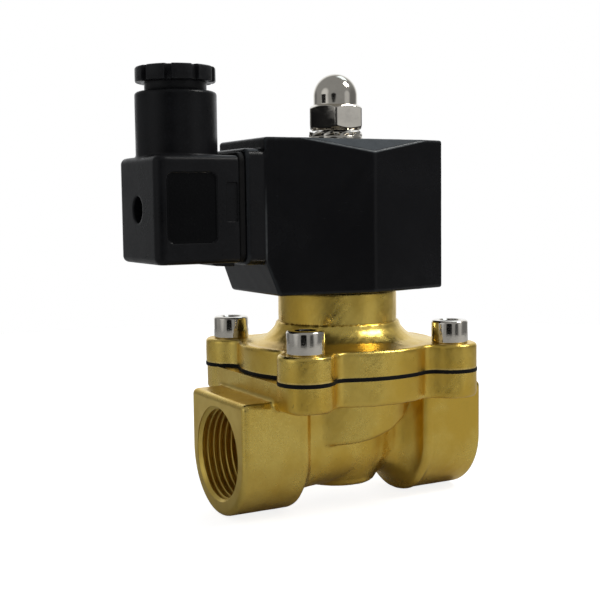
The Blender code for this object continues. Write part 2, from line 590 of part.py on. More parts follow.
TERMINAL_SCREWS = [(-6.6, 73.0), (6.6, 73.0), (7.2, 58.2)]
make_insert()


def slot_screw(name, y, z, head_x, head_r, head_h, shank_r, end_x, mat):
    """Cheese-head screw along +X with its head at the back."""
    s = lathe(name, [(0, head_x), (head_r - 0.25, head_x), (head_r, head_x + 0.25), (head_r, head_x + head_h), (shank_r, head_x + head_h), (shank_r, end_x), (0, end_x)],
              12, mat, axis=(1, 0, 0), origin=(0, y, z))
    cut(s, box("slot", (head_x - 1, y - 4, z - 0.4), (head_x + head_h * 0.45, y + 4, z + 0.4)))
    return finish(s, name)


for i, (y, z) in enumerate(TERMINAL_SCREWS):
    slot_screw("terminal_screw_%d" % (i + 1), y, z, -48.9, 2.5, 2.0, 1.3, -42.0, TINNED)
slot_screw("connector_screw", 0.0, CON_MID, -53.1, 2.95, 2.7, 1.45, -31.2, STEEL)

# ---------------------------------------------------------------- cable gland
GL = (GLAND_X, 0, 0)
finish(lathe("gland_seal", [(4.0, 80.8), (7.95, 80.8), (7.95, 84.6), (7.0, 85.8), (4.0, 85.8)], 20, RUBBER, closed=True, origin=GL), "gland_seal", origin=(GLAND_X, 0, 83))
finish(lathe("gland_slip_ring", [(4.9, 88.1), (7.9, 88.1), (7.9, 89.0), (4.9, 89.0)], 20, TINNED, closed=True, origin=GL), "gland_slip_ring", origin=(GLAND_X, 0, 88.5))


def make_gland_nut():
    """Lobed grip on a threaded shank that runs down into the plug's tube."""
    pts = []
    per = 4
    for k in range(NUT_LOBES * per):
        a = 2 * pi * k / (NUT_LOBES * per) + radians(NUT_PHASE)
        r = NUT_R - (0.9 if k % per == 0 else 0.0)
        pts.append((GLAND_X + r * cos(a), r * sin(a)))
    nut = prism("nut", pts, NUT_BOT, NUT_TOP, BLACK_PLUG)
    # rounded rim above and below
    rim = lathe("rim", [(0, NUT_BOT - 1), (8.6, NUT_BOT - 1), (8.9, NUT_BOT), (NUT_R + 0.05, NUT_BOT + 0.8), (NUT_R + 0.05, NUT_TOP - 0.8),
                        (NUT_R - 0.9, NUT_TOP), (0, NUT_TOP)], 27, origin=GL)
    combine(nut, rim, "INTERSECT")
    shank = lathe("shank", [(0, 89.3), (7.5, 89.3), (8.0, 89.8), (8.0, NUT_BOT + 1), (0, NUT_BOT + 1)], 20, origin=GL)
    join(nut, shank)
    cut(nut, lathe("bore", [(0, 88), (4.75, 88), (4.75, NUT_TOP - 1.2), (5.8, NUT_TOP), (5.8, NUT_TOP + 1), (0, NUT_TOP + 1)], 20, origin=GL))
    return finish(nut, "gland_nut", origin=(GLAND_X, 0, 96))


make_gland_nut()

# ----------------------------------------------------------- top fixings
finish(lathe("flat_washer", [(4.4, 84.3), (7.5, 84.3), (7.5, 85.35), (4.4, 85.35)], 24, STEEL, closed=True), "flat_washer")


def make_lock_washer():
    """External tooth lock washer with twisted teeth."""
    teeth = 10
    bm = bmesh.new()
    rows = {}
    n = teeth * 4
    for k in range(n):
        a = 2 * pi * k / n
        out = 7.4 if k % 4 in (1, 2) else 6.5
        tilt = (0.12 if k % 4 == 1 else -0.12 if k % 4 == 2 else 0.0)
        for key, r, z in (("a", 4.4, 85.75), ("b", out, 85.78 + tilt), ("c", out, 86.38 + tilt), ("d", 4.4, 86.35)):
            rows.setdefault(key, []).append(bm.verts.new((r * cos(a) * MM, r * sin(a) * MM, z * MM)))
    order = [rows[k] for k in "abcd"]
    for i in range(4):
        a, b = order[i], order[(i + 1) % 4]
        for k in range(n):
            j = (k + 1) % n
            bm.faces.new((a[k], a[j], b[j], b[k]))
    return finish(from_bm(bm, "lock_washer", STEEL), "lock_washer")


make_lock_washer()


def make_acorn():
    """Domed cap nut: chamfered hexagon, short cylinder and hemisphere."""
    phase = radians(-118.656)      # one corner of the hexagon
    hexa = prism("acorn", hexagon(HEX_AF, phase), HEX_BOT - 0.1, HEX_TOP, STEEL)
    rc = HEX_AF / 2 / cos(pi / 6)
    limit = lathe("limit", [(0, HEX_BOT - 0.1), (6.7, HEX_BOT - 0.1), (rc, HEX_BOT + 0.6), (rc, HEX_TOP - 0.75), (6.75, HEX_TOP), (0, HEX_TOP)], 24)
    combine(hexa, limit, "INTERSECT")
    prof = [(0, HEX_TOP - 1.0), (DOME_R, HEX_TOP - 1.0)]
    centre = DOME_TOP - DOME_R
    for k in range(6):
        a = pi / 2 * k / 6
        prof.append((DOME_R * cos(a), centre + DOME_R * sin(a)))
    prof.append((0, DOME_TOP))
    join(hexa, lathe("dome", prof, 24))
    cut(hexa, lathe("bore", [(0, 86), (4.25, 86), (4.25, 95.6), (0, 96.9)], 16))
    return finish(hexa, "acorn_nut")


make_acorn()

bpy.context.view_layer.update()
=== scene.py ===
"""Looks of the two-way solenoid valve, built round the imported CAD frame.
Lengths in this file are millimetres unless a name says otherwise."""

import json
from math import acos, atan2, cos, hypot, pi, radians, sin, sqrt, tan

import bmesh
import bpy
import numpy as np
from mathutils import Matrix, Vector

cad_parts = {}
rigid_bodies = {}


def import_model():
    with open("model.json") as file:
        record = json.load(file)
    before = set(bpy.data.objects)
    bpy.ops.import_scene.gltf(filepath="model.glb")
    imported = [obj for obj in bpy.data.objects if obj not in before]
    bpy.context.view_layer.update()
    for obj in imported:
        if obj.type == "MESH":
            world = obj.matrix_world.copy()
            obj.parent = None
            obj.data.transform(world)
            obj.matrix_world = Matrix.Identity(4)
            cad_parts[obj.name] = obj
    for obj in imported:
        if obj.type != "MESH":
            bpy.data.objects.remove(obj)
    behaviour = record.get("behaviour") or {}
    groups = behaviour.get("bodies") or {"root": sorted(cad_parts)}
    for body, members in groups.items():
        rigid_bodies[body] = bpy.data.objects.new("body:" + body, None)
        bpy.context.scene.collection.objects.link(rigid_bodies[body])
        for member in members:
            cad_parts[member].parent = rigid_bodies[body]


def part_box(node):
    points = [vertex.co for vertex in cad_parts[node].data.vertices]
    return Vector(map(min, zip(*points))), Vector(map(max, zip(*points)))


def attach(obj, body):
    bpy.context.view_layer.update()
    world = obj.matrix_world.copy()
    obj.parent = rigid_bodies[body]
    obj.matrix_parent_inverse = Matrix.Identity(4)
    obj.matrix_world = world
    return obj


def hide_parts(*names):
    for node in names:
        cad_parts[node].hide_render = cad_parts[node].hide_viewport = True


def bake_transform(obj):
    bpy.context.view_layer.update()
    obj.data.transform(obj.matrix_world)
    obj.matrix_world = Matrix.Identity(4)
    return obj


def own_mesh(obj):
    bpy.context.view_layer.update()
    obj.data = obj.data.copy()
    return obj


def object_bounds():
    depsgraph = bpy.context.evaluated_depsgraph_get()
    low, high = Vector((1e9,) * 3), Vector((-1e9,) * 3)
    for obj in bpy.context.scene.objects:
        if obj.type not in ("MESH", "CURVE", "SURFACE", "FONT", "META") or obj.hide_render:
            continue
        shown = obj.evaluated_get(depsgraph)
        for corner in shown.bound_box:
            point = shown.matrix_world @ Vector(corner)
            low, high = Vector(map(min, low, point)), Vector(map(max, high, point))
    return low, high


for old in list(bpy.data.objects):
    bpy.data.objects.remove(old, do_unlink=True)

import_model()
cad_lo, cad_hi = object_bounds()
MM = 0.001

# ======================================================================
# dimensions, read from the CAD frame where a box gives them
# ======================================================================
PORT_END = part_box("valve_body")[1].x / MM
BLOCK_R, BLOCK_TOP = 16.8, 15.7
BLOCK_IN_L, BLOCK_IN_R = -18.7, 18.1
CHAMBER_WALL_R = 20.2
FLANGE_BOT, FLANGE_TOP = 13.75, 20.7
WEB_R, EAR_X, EAR_Y, EAR_R, EAR_FILLET = 28.0, 22.7, 22.3, 7.4, 4.0
EARS = [(EAR_X, EAR_Y), (-EAR_X, EAR_Y), (-EAR_X, -EAR_Y), (EAR_X, -EAR_Y)]
BONNET_BOT, BONNET_FLANGE_TOP = 21.56, 28.47
NECK_R, NECK_TOP = 16.64, 42.65
COIL_BOT, COIL_TOP = 42.95, 84.0
COIL_A, COIL_B, COIL_C = 25.76, 14.7, 20.5
SIDE_X, BOSS_X = -29.2, -34.6
CON_BACK, CON_FRONT, CON_W, CON_BOT, CON_TOP, CON_MID = -58.9, -36.6, 13.75, 52.0, 79.3, 65.8
GLAND_X, GLAND_R, GLAND_TOP = -47.75, 10.55, 95.8
NUT_R, NUT_BOT, NUT_TOP, NUT_LOBES = 10.34, 98.2, 102.2, 9


# ======================================================================
# implicit shapes on a grid, meshed by surface nets and then pulled exactly
# onto the surface; used for the cast and moulded pieces
# ======================================================================
def nets(f, lo, hi, h, newton=3):
    lo, hi = np.array(lo, float), np.array(hi, float)
    n = np.ceil((hi - lo) / h).astype(int) + 1
    ax = [lo[i] + h * np.arange(n[i]) for i in range(3)]
    X, Y, Z = np.meshgrid(*ax, indexing="ij")
    V = f(X.astype(np.float32), Y.astype(np.float32), Z.astype(np.float32)).astype(np.float64)
    V[V == 0] = 1e-6
    ins = V < 0
    shape = tuple(n - 1)
    acc = np.zeros(shape + (3,))
    cnt = np.zeros(shape, int)
    for axis in range(3):
        o1, o2 = [a for a in range(3) if a != axis]
        for a in (0, 1):
            for b in (0, 1):
                s0 = [slice(0, -1)] * 3
                s0[o1] = slice(a, n[o1] - 1 + a)
                s0[o2] = slice(b, n[o2] - 1 + b)
                s1 = list(s0)
                s1[axis] = slice(1, n[axis])
                v0, v1 = V[tuple(s0)], V[tuple(s1)]
                c = (v0 < 0) != (v1 < 0)
                t = np.where(c, v0 / np.where(c, v0 - v1, 1), 0)
                acc[..., axis] += np.where(c, t, 0)
                acc[..., o1] += np.where(c, a, 0)
                acc[..., o2] += np.where(c, b, 0)
                cnt += c
    act = cnt > 0
    ids = -np.ones(shape, int)
    ids[act] = np.arange(act.sum())
    cell = np.argwhere(act)
    P = lo + h * (cell + acc[act] / cnt[act][:, None])
    quads = []
    for axis in range(3):
        o1, o2 = [a for a in range(3) if a != axis]
        s0, s1 = [slice(1, -1)] * 3, [slice(1, -1)] * 3
        s0[axis], s1[axis] = slice(0, -1), slice(1, None)
        i0, i1 = ins[tuple(s0)], ins[tuple(s1)]
        e = np.argwhere(i0 != i1)
        flip = i0[tuple(e.T)]
        base = e.copy()
        base[:, o1] += 1
        base[:, o2] += 1
        q = []
        for a, b in ((-1, -1), (0, -1), (0, 0), (-1, 0)):
            c = base.copy()
            c[:, o1] += a
            c[:, o2] += b
            q.append(ids[tuple(c.T)])
        q = np.array(q).T
        if axis == 1:
            flip = ~flip
        q[~flip] = q[~flip][:, ::-1]
        quads.append(q)
    Q = np.concatenate(quads)
    eps = h * 0.05
    g = lambda p: f(p[:, 0], p[:, 1], p[:, 2])
    for _ in range(newton):
        v = g(P)
        G = np.stack([(g(P + np.eye(3)[i] * eps) - g(P - np.eye(3)[i] * eps)) / (2 * eps) for i in range(3)], 1)
        gg = np.maximum((G * G).sum(1), 0.05)
        step = -(v / gg)[:, None] * G
        ln = np.linalg.norm(step, axis=1)
        step *= np.minimum(1, 0.6 * h / np.maximum(ln, 1e-9))[:, None]
        P = P + step
    return P, Q


def rounded_and(a, b, r):
    u, v = np.maximum(a + r, 0), np.maximum(b + r, 0)
    return np.minimum(-r, np.maximum(a, b)) + np.sqrt(u * u + v * v)


def rounded_or(a, b, r):
    """Union with a concave fillet of radius r."""
    u, v = np.maximum(r - a, 0), np.maximum(r - b, 0)
    return np.maximum(r, np.minimum(a, b)) - np.sqrt(u * u + v * v)


def rounded_cut(a, b, r):
    return rounded_and(a, -b, r)


def box2(x, y, hx, hy, r):
    qx, qy = np.abs(x) - hx + r, np.abs(y) - hy + r
    return np.minimum(np.maximum(qx, qy), 0) + np.hypot(np.maximum(qx, 0), np.maximum(qy, 0)) - r


def poly2(x, y, pts, r=0.0):
    """Convex polygon, counter-clockwise, with corners rounded by r."""
    d = None
    for (x0, y0), (x1, y1) in zip(pts, pts[1:] + pts[:1]):
        ex, ey = x1 - x0, y1 - y0
        ln = hypot(ex, ey)
        s = ((x - x0) * ey - (y - y0) * ex) / ln
        d = s if d is None else (rounded_and(d, s, r) if r else np.maximum(d, s))
    return d


# ======================================================================
# mesh helpers
# ======================================================================
def obj_from(name, P, F, mat=None, smooth=35.0):
    me = bpy.data.meshes.new(name)
    if isinstance(P, np.ndarray) and isinstance(F, np.ndarray) and F.ndim == 2:
        me.vertices.add(len(P))
        me.vertices.foreach_set("co", (np.asarray(P, np.float64) * MM).astype(np.float32).ravel())
        me.loops.add(F.size)
        me.loops.foreach_set("vertex_index", F.astype(np.int32).ravel())
        me.polygons.add(len(F))
        me.polygons.foreach_set("loop_start", (np.arange(len(F)) * F.shape[1]).astype(np.int32))
        me.update(calc_edges=True)
    else:
        me.from_pydata([[c * MM for c in p] for p in P], [], [list(f) for f in F])
    me.validate()
    ob = bpy.data.objects.new(name, me)
    bpy.context.scene.collection.objects.link(ob)
    if mat:
        me.materials.append(mat)
    shade(ob, smooth)
    return ob


def shade(ob, angle=35.0):
    ob.data.shade_smooth()
    if angle:
        ob.data.set_sharp_from_angle(angle=radians(angle))


def place(P, axis, origin):
    """Turns points made round +Z so that +Z becomes axis."""
    q = Vector((0, 0, 1)).rotation_difference(Vector(axis)).to_matrix()
    M = np.array(q)
    return np.asarray(P, float) @ M.T + np.array(origin, float)


def turned(name, prof, n=96, mat=None, closed=False, axis=(0, 0, 1), origin=(0, 0, 0), smooth=35.0, radial=None, phase=0.0):
    """Turned piece from (radius, height) points.  radial(i, theta, r) may
    change the radius of profile point i at an angle, for lobes and teeth."""
    P, F, rings = [], [], []
    for i, (r, z) in enumerate(prof):
        if r < 1e-6:
            rings.append([len(P)])
            P.append((0, 0, z))
        else:
            ring = []
            for k in range(n):
                a = 2 * pi * k / n + phase
                rr = radial(i, a, r) if radial else r
                ring.append(len(P))
                P.append((rr * cos(a), rr * sin(a), z))
            rings.append(ring)
    pairs = list(zip(rings, rings[1:]))
    if closed:
        pairs.append((rings[-1], rings[0]))
    for a, b in pairs:
        for k in range(n):
            j = (k + 1) % n
            if len(a) == 1 and len(b) == 1:
                break
            if len(a) == 1:
                F.append((a[0], b[j], b[k]))
            elif len(b) == 1:
                F.append((a[k], a[j], b[0]))
            else:
                F.append((a[k], a[j], b[j], b[k]))
    P = place(P, axis, origin)
    ob = obj_from(name, P.tolist(), F, mat, smooth=None)
    outward(ob)
    shade(ob, smooth)
    return ob


def outward(ob):
    bm = bmesh.new()
    bm.from_mesh(ob.data)
    bmesh.ops.recalc_face_normals(bm, faces=bm.faces)
    bm.to_mesh(ob.data)
    bm.free()


def fillet_profile(pts, radii, n=4, closed=False):
    """Rounds the corners of an open or closed (r, z) profile."""
    out = []
    m = len(pts)
    for i, p in enumerate(pts):
        r = radii[i] if i < len(radii) else 0
        if r <= 0 or (not closed and i in (0, m - 1)):
            out.append(p)
            continue
        a, b = Vector(pts[(i - 1) % m]), Vector(pts[(i + 1) % m])
        c = Vector(p)
        u, v = (a - c), (b - c)
        half = u.angle(v) / 2
        t = min(r / tan(half), u.length * 0.49, v.length * 0.49)
        rr = t * tan(half)
        u.normalize()
        v.normalize()
        p0, p1 = c + u * t, c + v * t
        cen = c + (u + v).normalized() * (rr / sin(half))
        a0 = atan2(p0.y - cen.y, p0.x - cen.x)
        a1 = atan2(p1.y - cen.y, p1.x - cen.x)
        d = (a1 - a0 + pi) % (2 * pi) - pi
        for k in range(n + 1):
            t2 = a0 + d * k / n
            out.append((cen.x + rr * cos(t2), cen.y + rr * sin(t2)))
    return out


def extruded(name, outline, lo, hi, axis="Z", mat=None):
    put = {"Z": lambda a, b, h: (a, b, h), "X": lambda a, b, h: (h, a, b), "Y": lambda a, b, h: (a, h, b)}[axis]
    n = len(outline)
    P = [put(a, b, lo) for a, b in outline] + [put(a, b, hi) for a, b in outline]
    F = [tuple(range(n))[::-1], tuple(range(n, 2 * n))] + [(k, (k + 1) % n, n + (k + 1) % n, n + k) for k in range(n)]
    ob = obj_from(name, P, F, mat, smooth=None)
    outward(ob)
    return ob


def cut(ob, *others, how="DIFFERENCE"):
    for o in others:
        mod = ob.modifiers.new("b", "BOOLEAN")
        mod.operation, mod.solver, mod.object = how, "EXACT", o
        graph = bpy.context.evaluated_depsgraph_get()
        me = bpy.data.meshes.new_from_object(ob.evaluated_get(graph))
        ob.modifiers.clear()
        ob.data = me
        bpy.data.objects.remove(o, do_unlink=True)
    return ob


def arc(cx, cy, r, a0, a1, n):
    return [(cx + r * cos(a0 + (a1 - a0) * k / n), cy + r * sin(a0 + (a1 - a0) * k / n)) for k in range(n + 1)]


def round_rect(x0, y0, x1, y1, r, n=6):
    pts = []
    for cx, cy, a in ((x1 - r, y1 - r, 0), (x0 + r, y1 - r, pi / 2), (x0 + r, y0 + r, pi), (x1 - r, y0 + r, 3 * pi / 2)):
        pts += arc(cx, cy, r, a, a + pi / 2, n)
    return pts


def slice_flat(ob, co, normal):
    """Cuts the casting flat, as a milling cutter would, and closes it.  The
    part on the normal's side goes."""
    bm = bmesh.new()
    bm.from_mesh(ob.data)
    res = bmesh.ops.bisect_plane(bm, geom=bm.verts[:] + bm.edges[:] + bm.faces[:], dist=1e-7, plane_co=Vector(co) * MM, plane_no=Vector(normal),
                                 clear_outer=True, clear_inner=False)
    edges = [e for e in res["geom_cut"] if isinstance(e, bmesh.types.BMEdge)]
    bmesh.ops.holes_fill(bm, edges=edges, sides=0)
    bmesh.ops.recalc_face_normals(bm, faces=bm.faces)
    bm.to_mesh(ob.data)
    bm.free()


def show(ob, body, nodes=()):
    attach(ob, body)
    if nodes:
        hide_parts(*([nodes] if isinstance(nodes, str) else nodes))
    return ob


# ======================================================================
# materials, all from nodes.  Texture space is each piece's own space in
# metres, so a scale of 1000 is about one feature per millimetre.
# ======================================================================
class Mat:
    def __init__(self, name, base, metallic, rough, **sockets):
        self.m = bpy.data.materials.new(name)
        self.m.use_nodes = True
        self.nt = self.m.node_tree
        self.b = self.nt.nodes["Principled BSDF"]
        self.b.inputs["Base Color"].default_value = (*base, 1)
        self.b.inputs["Metallic"].default_value = metallic
        self.b.inputs["Roughness"].default_value = rough
        for k, v in sockets.items():
            self.b.inputs[k.replace("_", " ")].default_value = v
        self.obj = self.nt.nodes.new("ShaderNodeTexCoord").outputs["Object"]
        self.point = None

    def put(self, socket, value):
        if isinstance(value, (int, float)):
            socket.default_value = value
        elif isinstance(value, tuple):
            socket.default_value = (*value, 1) if len(value) == 3 and socket.type == "RGBA" else value
        else:
            self.nt.links.new(value, socket)

    def space(self, scale=(1, 1, 1), rot=(0, 0, 0), loc=(0, 0, 0)):
        n = self.nt.nodes.new("ShaderNodeMapping")
        n.inputs["Scale"].default_value = scale
        n.inputs["Rotation"].default_value = rot
        n.inputs["Location"].default_value = loc
        self.nt.links.new(self.obj, n.inputs["Vector"])
        return n.outputs["Vector"]

    def noise(self, scale, detail=4.0, rough=0.5, at=None, distort=0.0):
        n = self.nt.nodes.new("ShaderNodeTexNoise")
        n.inputs["Scale"].default_value = scale
        n.inputs["Detail"].default_value = detail
        n.inputs["Roughness"].default_value = rough
        n.inputs["Distortion"].default_value = distort
        self.nt.links.new(at or self.obj, n.inputs["Vector"])
        return n.outputs["Fac"]

    def cells(self, scale, feature="F1", out="Distance", at=None):
        n = self.nt.nodes.new("ShaderNodeTexVoronoi")
        n.feature = feature
        n.inputs["Scale"].default_value = scale
        self.nt.links.new(at or self.obj, n.inputs["Vector"])
        return n.outputs[out]

    def wave(self, scale, axis="X", kind="BANDS", distort=1.0, detail=2.0, at=None, dscale=1.0):
        n = self.nt.nodes.new("ShaderNodeTexWave")
        n.wave_type = kind
        if kind == "BANDS":
            n.bands_direction = axis
        else:
            n.rings_direction = axis
        n.inputs["Scale"].default_value = scale
        n.inputs["Distortion"].default_value = distort
        n.inputs["Detail"].default_value = detail
        n.inputs["Detail Scale"].default_value = dscale
        self.nt.links.new(at or self.obj, n.inputs["Vector"])
        return n.outputs["Fac"]

    def range(self, v, a0, a1, b0, b1, smooth=False):
        n = self.nt.nodes.new("ShaderNodeMapRange")
        n.interpolation_type = "SMOOTHSTEP" if smooth else "LINEAR"
        for k, x in zip(("From Min", "From Max", "To Min", "To Max"), (a0, a1, b0, b1)):
            n.inputs[k].default_value = x
        self.nt.links.new(v, n.inputs["Value"])
        return n.outputs["Result"]

    def math(self, op, a, b=0.0, c=None, clamp=False):
        n = self.nt.nodes.new("ShaderNodeMath")
        n.operation = op
        n.use_clamp = clamp
        self.put(n.inputs[0], a)
        self.put(n.inputs[1], b)
        if c is not None:
            self.put(n.inputs[2], c)
        return n.outputs[0]

    def mix(self, fac, a, b, kind="MIX"):
        n = self.nt.nodes.new("ShaderNodeMix")
        n.data_type = "RGBA"
        n.blend_type = kind
        self.put(n.inputs[0], fac)
        self.put(n.inputs[6], a)
        self.put(n.inputs[7], b)
        return n.outputs[2]

    def edge(self, lo, hi):
        """1 on convex edges, 0 on flats; rubbing, polish, painted edge highlights and painted corner shade follow it.
        """
        if self.point is None:
            node = self.nt.nodes.new("ShaderNodeAttribute")
            node.attribute_name = "convexity"
            self.point = node.outputs["Fac"]
        return self.range(self.point, lo, hi, 0, 1, True)

    def split(self):
        n = self.nt.nodes.new("ShaderNodeSeparateXYZ")
        self.nt.links.new(self.obj, n.inputs[0])
        return n.outputs

    def bump(self, height, dist, strength=1.0, prev=None):
        n = self.nt.nodes.new("ShaderNodeBump")
        n.inputs["Strength"].default_value = strength
        n.inputs["Distance"].default_value = dist
        self.nt.links.new(height, n.inputs["Height"])
        if prev is not None:
            self.nt.links.new(prev, n.inputs["Normal"])
        return n.outputs["Normal"]

    def done(self, colour=None, rough=None, normal=None):
        if colour is not None:
            self.nt.links.new(colour, self.b.inputs["Base Color"])
        if rough is not None:
            self.nt.links.new(rough, self.b.inputs["Roughness"])
        if normal is not None:
            self.nt.links.new(normal, self.b.inputs["Normal"])
        return self.m


def cast_brass():
    """Sand cast, shot blasted and tumbled: satin grain, faint brown patches,
    edges rubbed bright, painted shade darkening the inner corners."""
    m = Mat("cast_brass", (0.78, 0.54, 0.20), 1.0, 0.36)
    cloud = m.noise(42, 5, 0.6)
    patch = m.range(cloud, 0.36, 0.64, 0, 1, True)
    col = m.mix(patch, (0.89, 0.665, 0.165), (0.76, 0.500, 0.080))
    fine = m.noise(1500, 5, 0.65)
    grain = m.range(fine, 0.30, 0.70, 0, 1)
    col = m.mix(m.math("MULTIPLY", grain, 0.28), col, (0.67, 0.450, 0.088))
    specks = m.range(m.noise(640, 3, 0.7), 0.69, 0.74, 0, 0.45, True)
    col = m.mix(specks, col, (0.26, 0.15, 0.045))
    convex_edge = m.edge(0.515, 0.56)
    col = m.mix(m.math("MULTIPLY", convex_edge, 0.5), col, (0.93, 0.72, 0.29))
    # painted shade: concave inner corners darkened towards dark brown where shade falls; the same mask also roughens
    # them
    corner_shade = m.math("SUBTRACT", 1.0, m.edge(0.445, 0.492))
    corner_shade = m.math("MULTIPLY", corner_shade, m.range(m.noise(160, 4), 0.3, 0.7, 0.35, 0.8))
    col = m.mix(corner_shade, col, (0.22, 0.125, 0.035))
    rough = m.math("ADD", m.range(m.noise(90, 4, 0.6), 0.3, 0.7, 0.24, 0.36), m.range(fine, 0.3, 0.7, -0.03, 0.05))
    rough = m.math("SUBTRACT", rough, m.math("MULTIPLY", convex_edge, 0.10))
    rough = m.math("ADD", rough, m.math("MULTIPLY", corner_shade, 0.2))
    n = m.bump(m.noise(230, 4, 0.6), 0.00010, 0.55)
    n = m.bump(fine, 0.000035, 0.8, n)
    n = m.bump(m.noise(2700, 2, 0.6), 0.000022, 0.7, n)
    return m.done(col, rough, n)


def turned_marks(name, base, dark, rough, axis, pitch=5200.0, lines=0.5):
    """Metal cut on a lathe: fine rings round an axis and a little staining."""
    m = Mat(name, base, 1.0, rough)
    rings = m.wave(pitch / (2 * pi), axis=axis, distort=0.6, detail=3, dscale=30)
    cloud = m.noise(120, 4, 0.6)
    col = m.mix(m.range(cloud, 0.35, 0.7, 0, 0.8, True), base, dark)
    convex_edge = m.edge(0.515, 0.58)
    col = m.mix(m.math("MULTIPLY", convex_edge, 0.5), col, tuple(min(1.0, c * 1.25) for c in base))
    r = m.math("ADD", m.range(m.noise(260, 4), 0.3, 0.7, rough - 0.04, rough + 0.08), m.math("MULTIPLY", rings, 0.05))
    n = m.bump(rings, 0.000012, lines)
    n = m.bump(m.noise(2600, 3), 0.000010, 0.5, n)
    return m.done(col, r, n)


def polished_steel(name="polished_steel", base=(0.74, 0.695, 0.615), rough=0.075, scratch=0.20):
    """Bright stainless: brushed hair lines, faint dull patches."""
    m = Mat(name, base, 1.0, rough)
    hair = m.noise(900, 4, 0.6, at=m.space((1, 1, 14)))
    hair2 = m.noise(1400, 3, 0.6, at=m.space((9, 1, 1), rot=(0.3, 0.2, 0.9)))
    dull = m.range(m.noise(240, 5, 0.65), 0.42, 0.75, 0, 1, True)
    col = m.mix(m.math("MULTIPLY", dull, 0.55), base, tuple(c * 0.72 for c in base))
    convex_edge = m.edge(0.52, 0.60)
    col = m.mix(m.math("MULTIPLY", convex_edge, 0.4), col, (0.82, 0.81, 0.79))
    r = m.math("ADD", m.range(dull, 0, 1, rough - 0.03, rough + 0.06), m.range(hair, 0.4, 0.7, 0.0, 0.06))
    n = m.bump(hair, 0.000012, scratch)
    n = m.bump(hair2, 0.000008, scratch, n)
    return m.done(col, r, n)


def coil_plastic():
    """Satin black thermoset: soft moulded undulation, hairline scuffs, a
    film of handling marks that changes the gloss, painted edge highlights."""
    m = Mat("coil_plastic", (0.011, 0.011, 0.013), 0.0, 0.30, Specular_IOR_Level=0.20)
    smear = m.range(m.noise(46, 4, 0.55, distort=0.4), 0.38, 0.72, 0, 1, True)
    scuffs = m.range(m.noise(260, 6, 0.75, at=m.space((1, 1, 5), rot=(0.5, 0.35, 0.2))), 0.66, 0.74, 0, 1, True)
    col = m.mix(m.math("MULTIPLY", smear, 0.5), (0.0052, 0.0052, 0.0064), (0.0082, 0.0083, 0.0100))
    # painted highlight: convex edges and the vertical ridge lightened grey
    convex_edge = m.edge(0.508, 0.545)
    col = m.mix(m.math("MULTIPLY", convex_edge, 0.5), col, (0.060, 0.068, 0.075))
    # painted highlight lines along the crisp lower edges of the facets and the edge beside the boss: distance inside
    # the faces that meet there
    x, y, z = m.split()
    ax, ay = m.math("ABSOLUTE", x), m.math("ABSOLUTE", y)
    ln = hypot(COIL_C - COIL_B, COIL_A)
    ky = COIL_A / ln
    vee = m.math("MULTIPLY_ADD", ax, (COIL_C - COIL_B) / ln, m.math("MULTIPLY_ADD", ay, ky, -ky * COIL_C * MM))
    edge_y = COIL_B + (COIL_C - COIL_B) * (COIL_A - 20.0) / COIL_A
    fy, fz = COIL_TOP - 80.3, COIL_C - edge_y
    fl = hypot(fy, fz)
    fy, fz = fy / fl, fz / fl
    slope = m.math("MULTIPLY_ADD", z, fz, m.math("MULTIPLY_ADD", ay, fy, -(fy * edge_y + fz * COIL_TOP) * MM))
    uneven = m.range(m.noise(420, 4, 0.6), 0.35, 0.65, 0.55, 1.0)
    # painted highlight line along the lower edges of the facets
    rim = m.range(m.math("MINIMUM", vee, slope), -0.00034, -0.00010, 0, 1, True)
    col = m.mix(m.math("MULTIPLY", rim, m.math("MULTIPLY", uneven, 0.85)), col, (0.24, 0.26, 0.27))
    # painted highlight line along the edge beside the boss, fading downwards
    inboard = m.math("SUBTRACT", SIDE_X * MM, x)
    side = m.range(m.math("MINIMUM", vee, inboard), -0.00034, -0.00010, 0, 1, True)
    side = m.math("MULTIPLY", side, m.range(inboard, 0.00040, 0.00015, 0, 1, True))
    side = m.math("MULTIPLY", side, m.range(z, 0.074, 0.060, 0.0, 1.0, True))
    col = m.mix(m.math("MULTIPLY", side, m.math("MULTIPLY", uneven, 0.55)), col, (0.15, 0.16, 0.165))
    col = m.mix(m.math("MULTIPLY", scuffs, 0.35), col, (0.06, 0.06, 0.065))
    r = m.math("ADD", m.range(smear, 0, 1, 0.23, 0.29), m.math("MULTIPLY", scuffs, 0.16))
    n = m.bump(m.noise(55, 2, 0.5), 0.00012, 0.5)
    n = m.bump(m.noise(3200, 3, 0.6), 0.000012, 0.5, n)
    return m.done(col, r, n)


def plug_plastic(name="plug_plastic", a=(0.0058, 0.0059, 0.0070), b=(0.0094, 0.0096, 0.0112), rough=0.34, shine=0.18):
    """Glass filled nylon from a spark eroded mould: an even fine grain."""
    m = Mat(name, a, 0.0, rough, Specular_IOR_Level=shine)
    grain = m.noise(1500, 4, 0.62)
    cloud = m.range(m.noise(85, 4, 0.6), 0.35, 0.7, 0, 1, True)
    col = m.mix(cloud, a, b)
    col = m.mix(m.range(grain, 0.55, 0.8, 0, 0.5), col, tuple(c * 2.2 for c in b))
    # edges lightened grey, partly as rubbed and partly as painted highlight
    convex_edge = m.edge(0.53, 0.64)
    col = m.mix(m.math("MULTIPLY", convex_edge, 0.35), col, (0.075, 0.077, 0.082))
    r = m.math("ADD", m.range(cloud, 0, 1, rough - 0.06, rough + 0.05), m.range(grain, 0.3, 0.7, -0.03, 0.05))
    n = m.bump(grain, 0.000045, 0.75)
    n = m.bump(m.noise(60, 2), 0.00010, 0.4, n)
    return m.done(col, r, n)


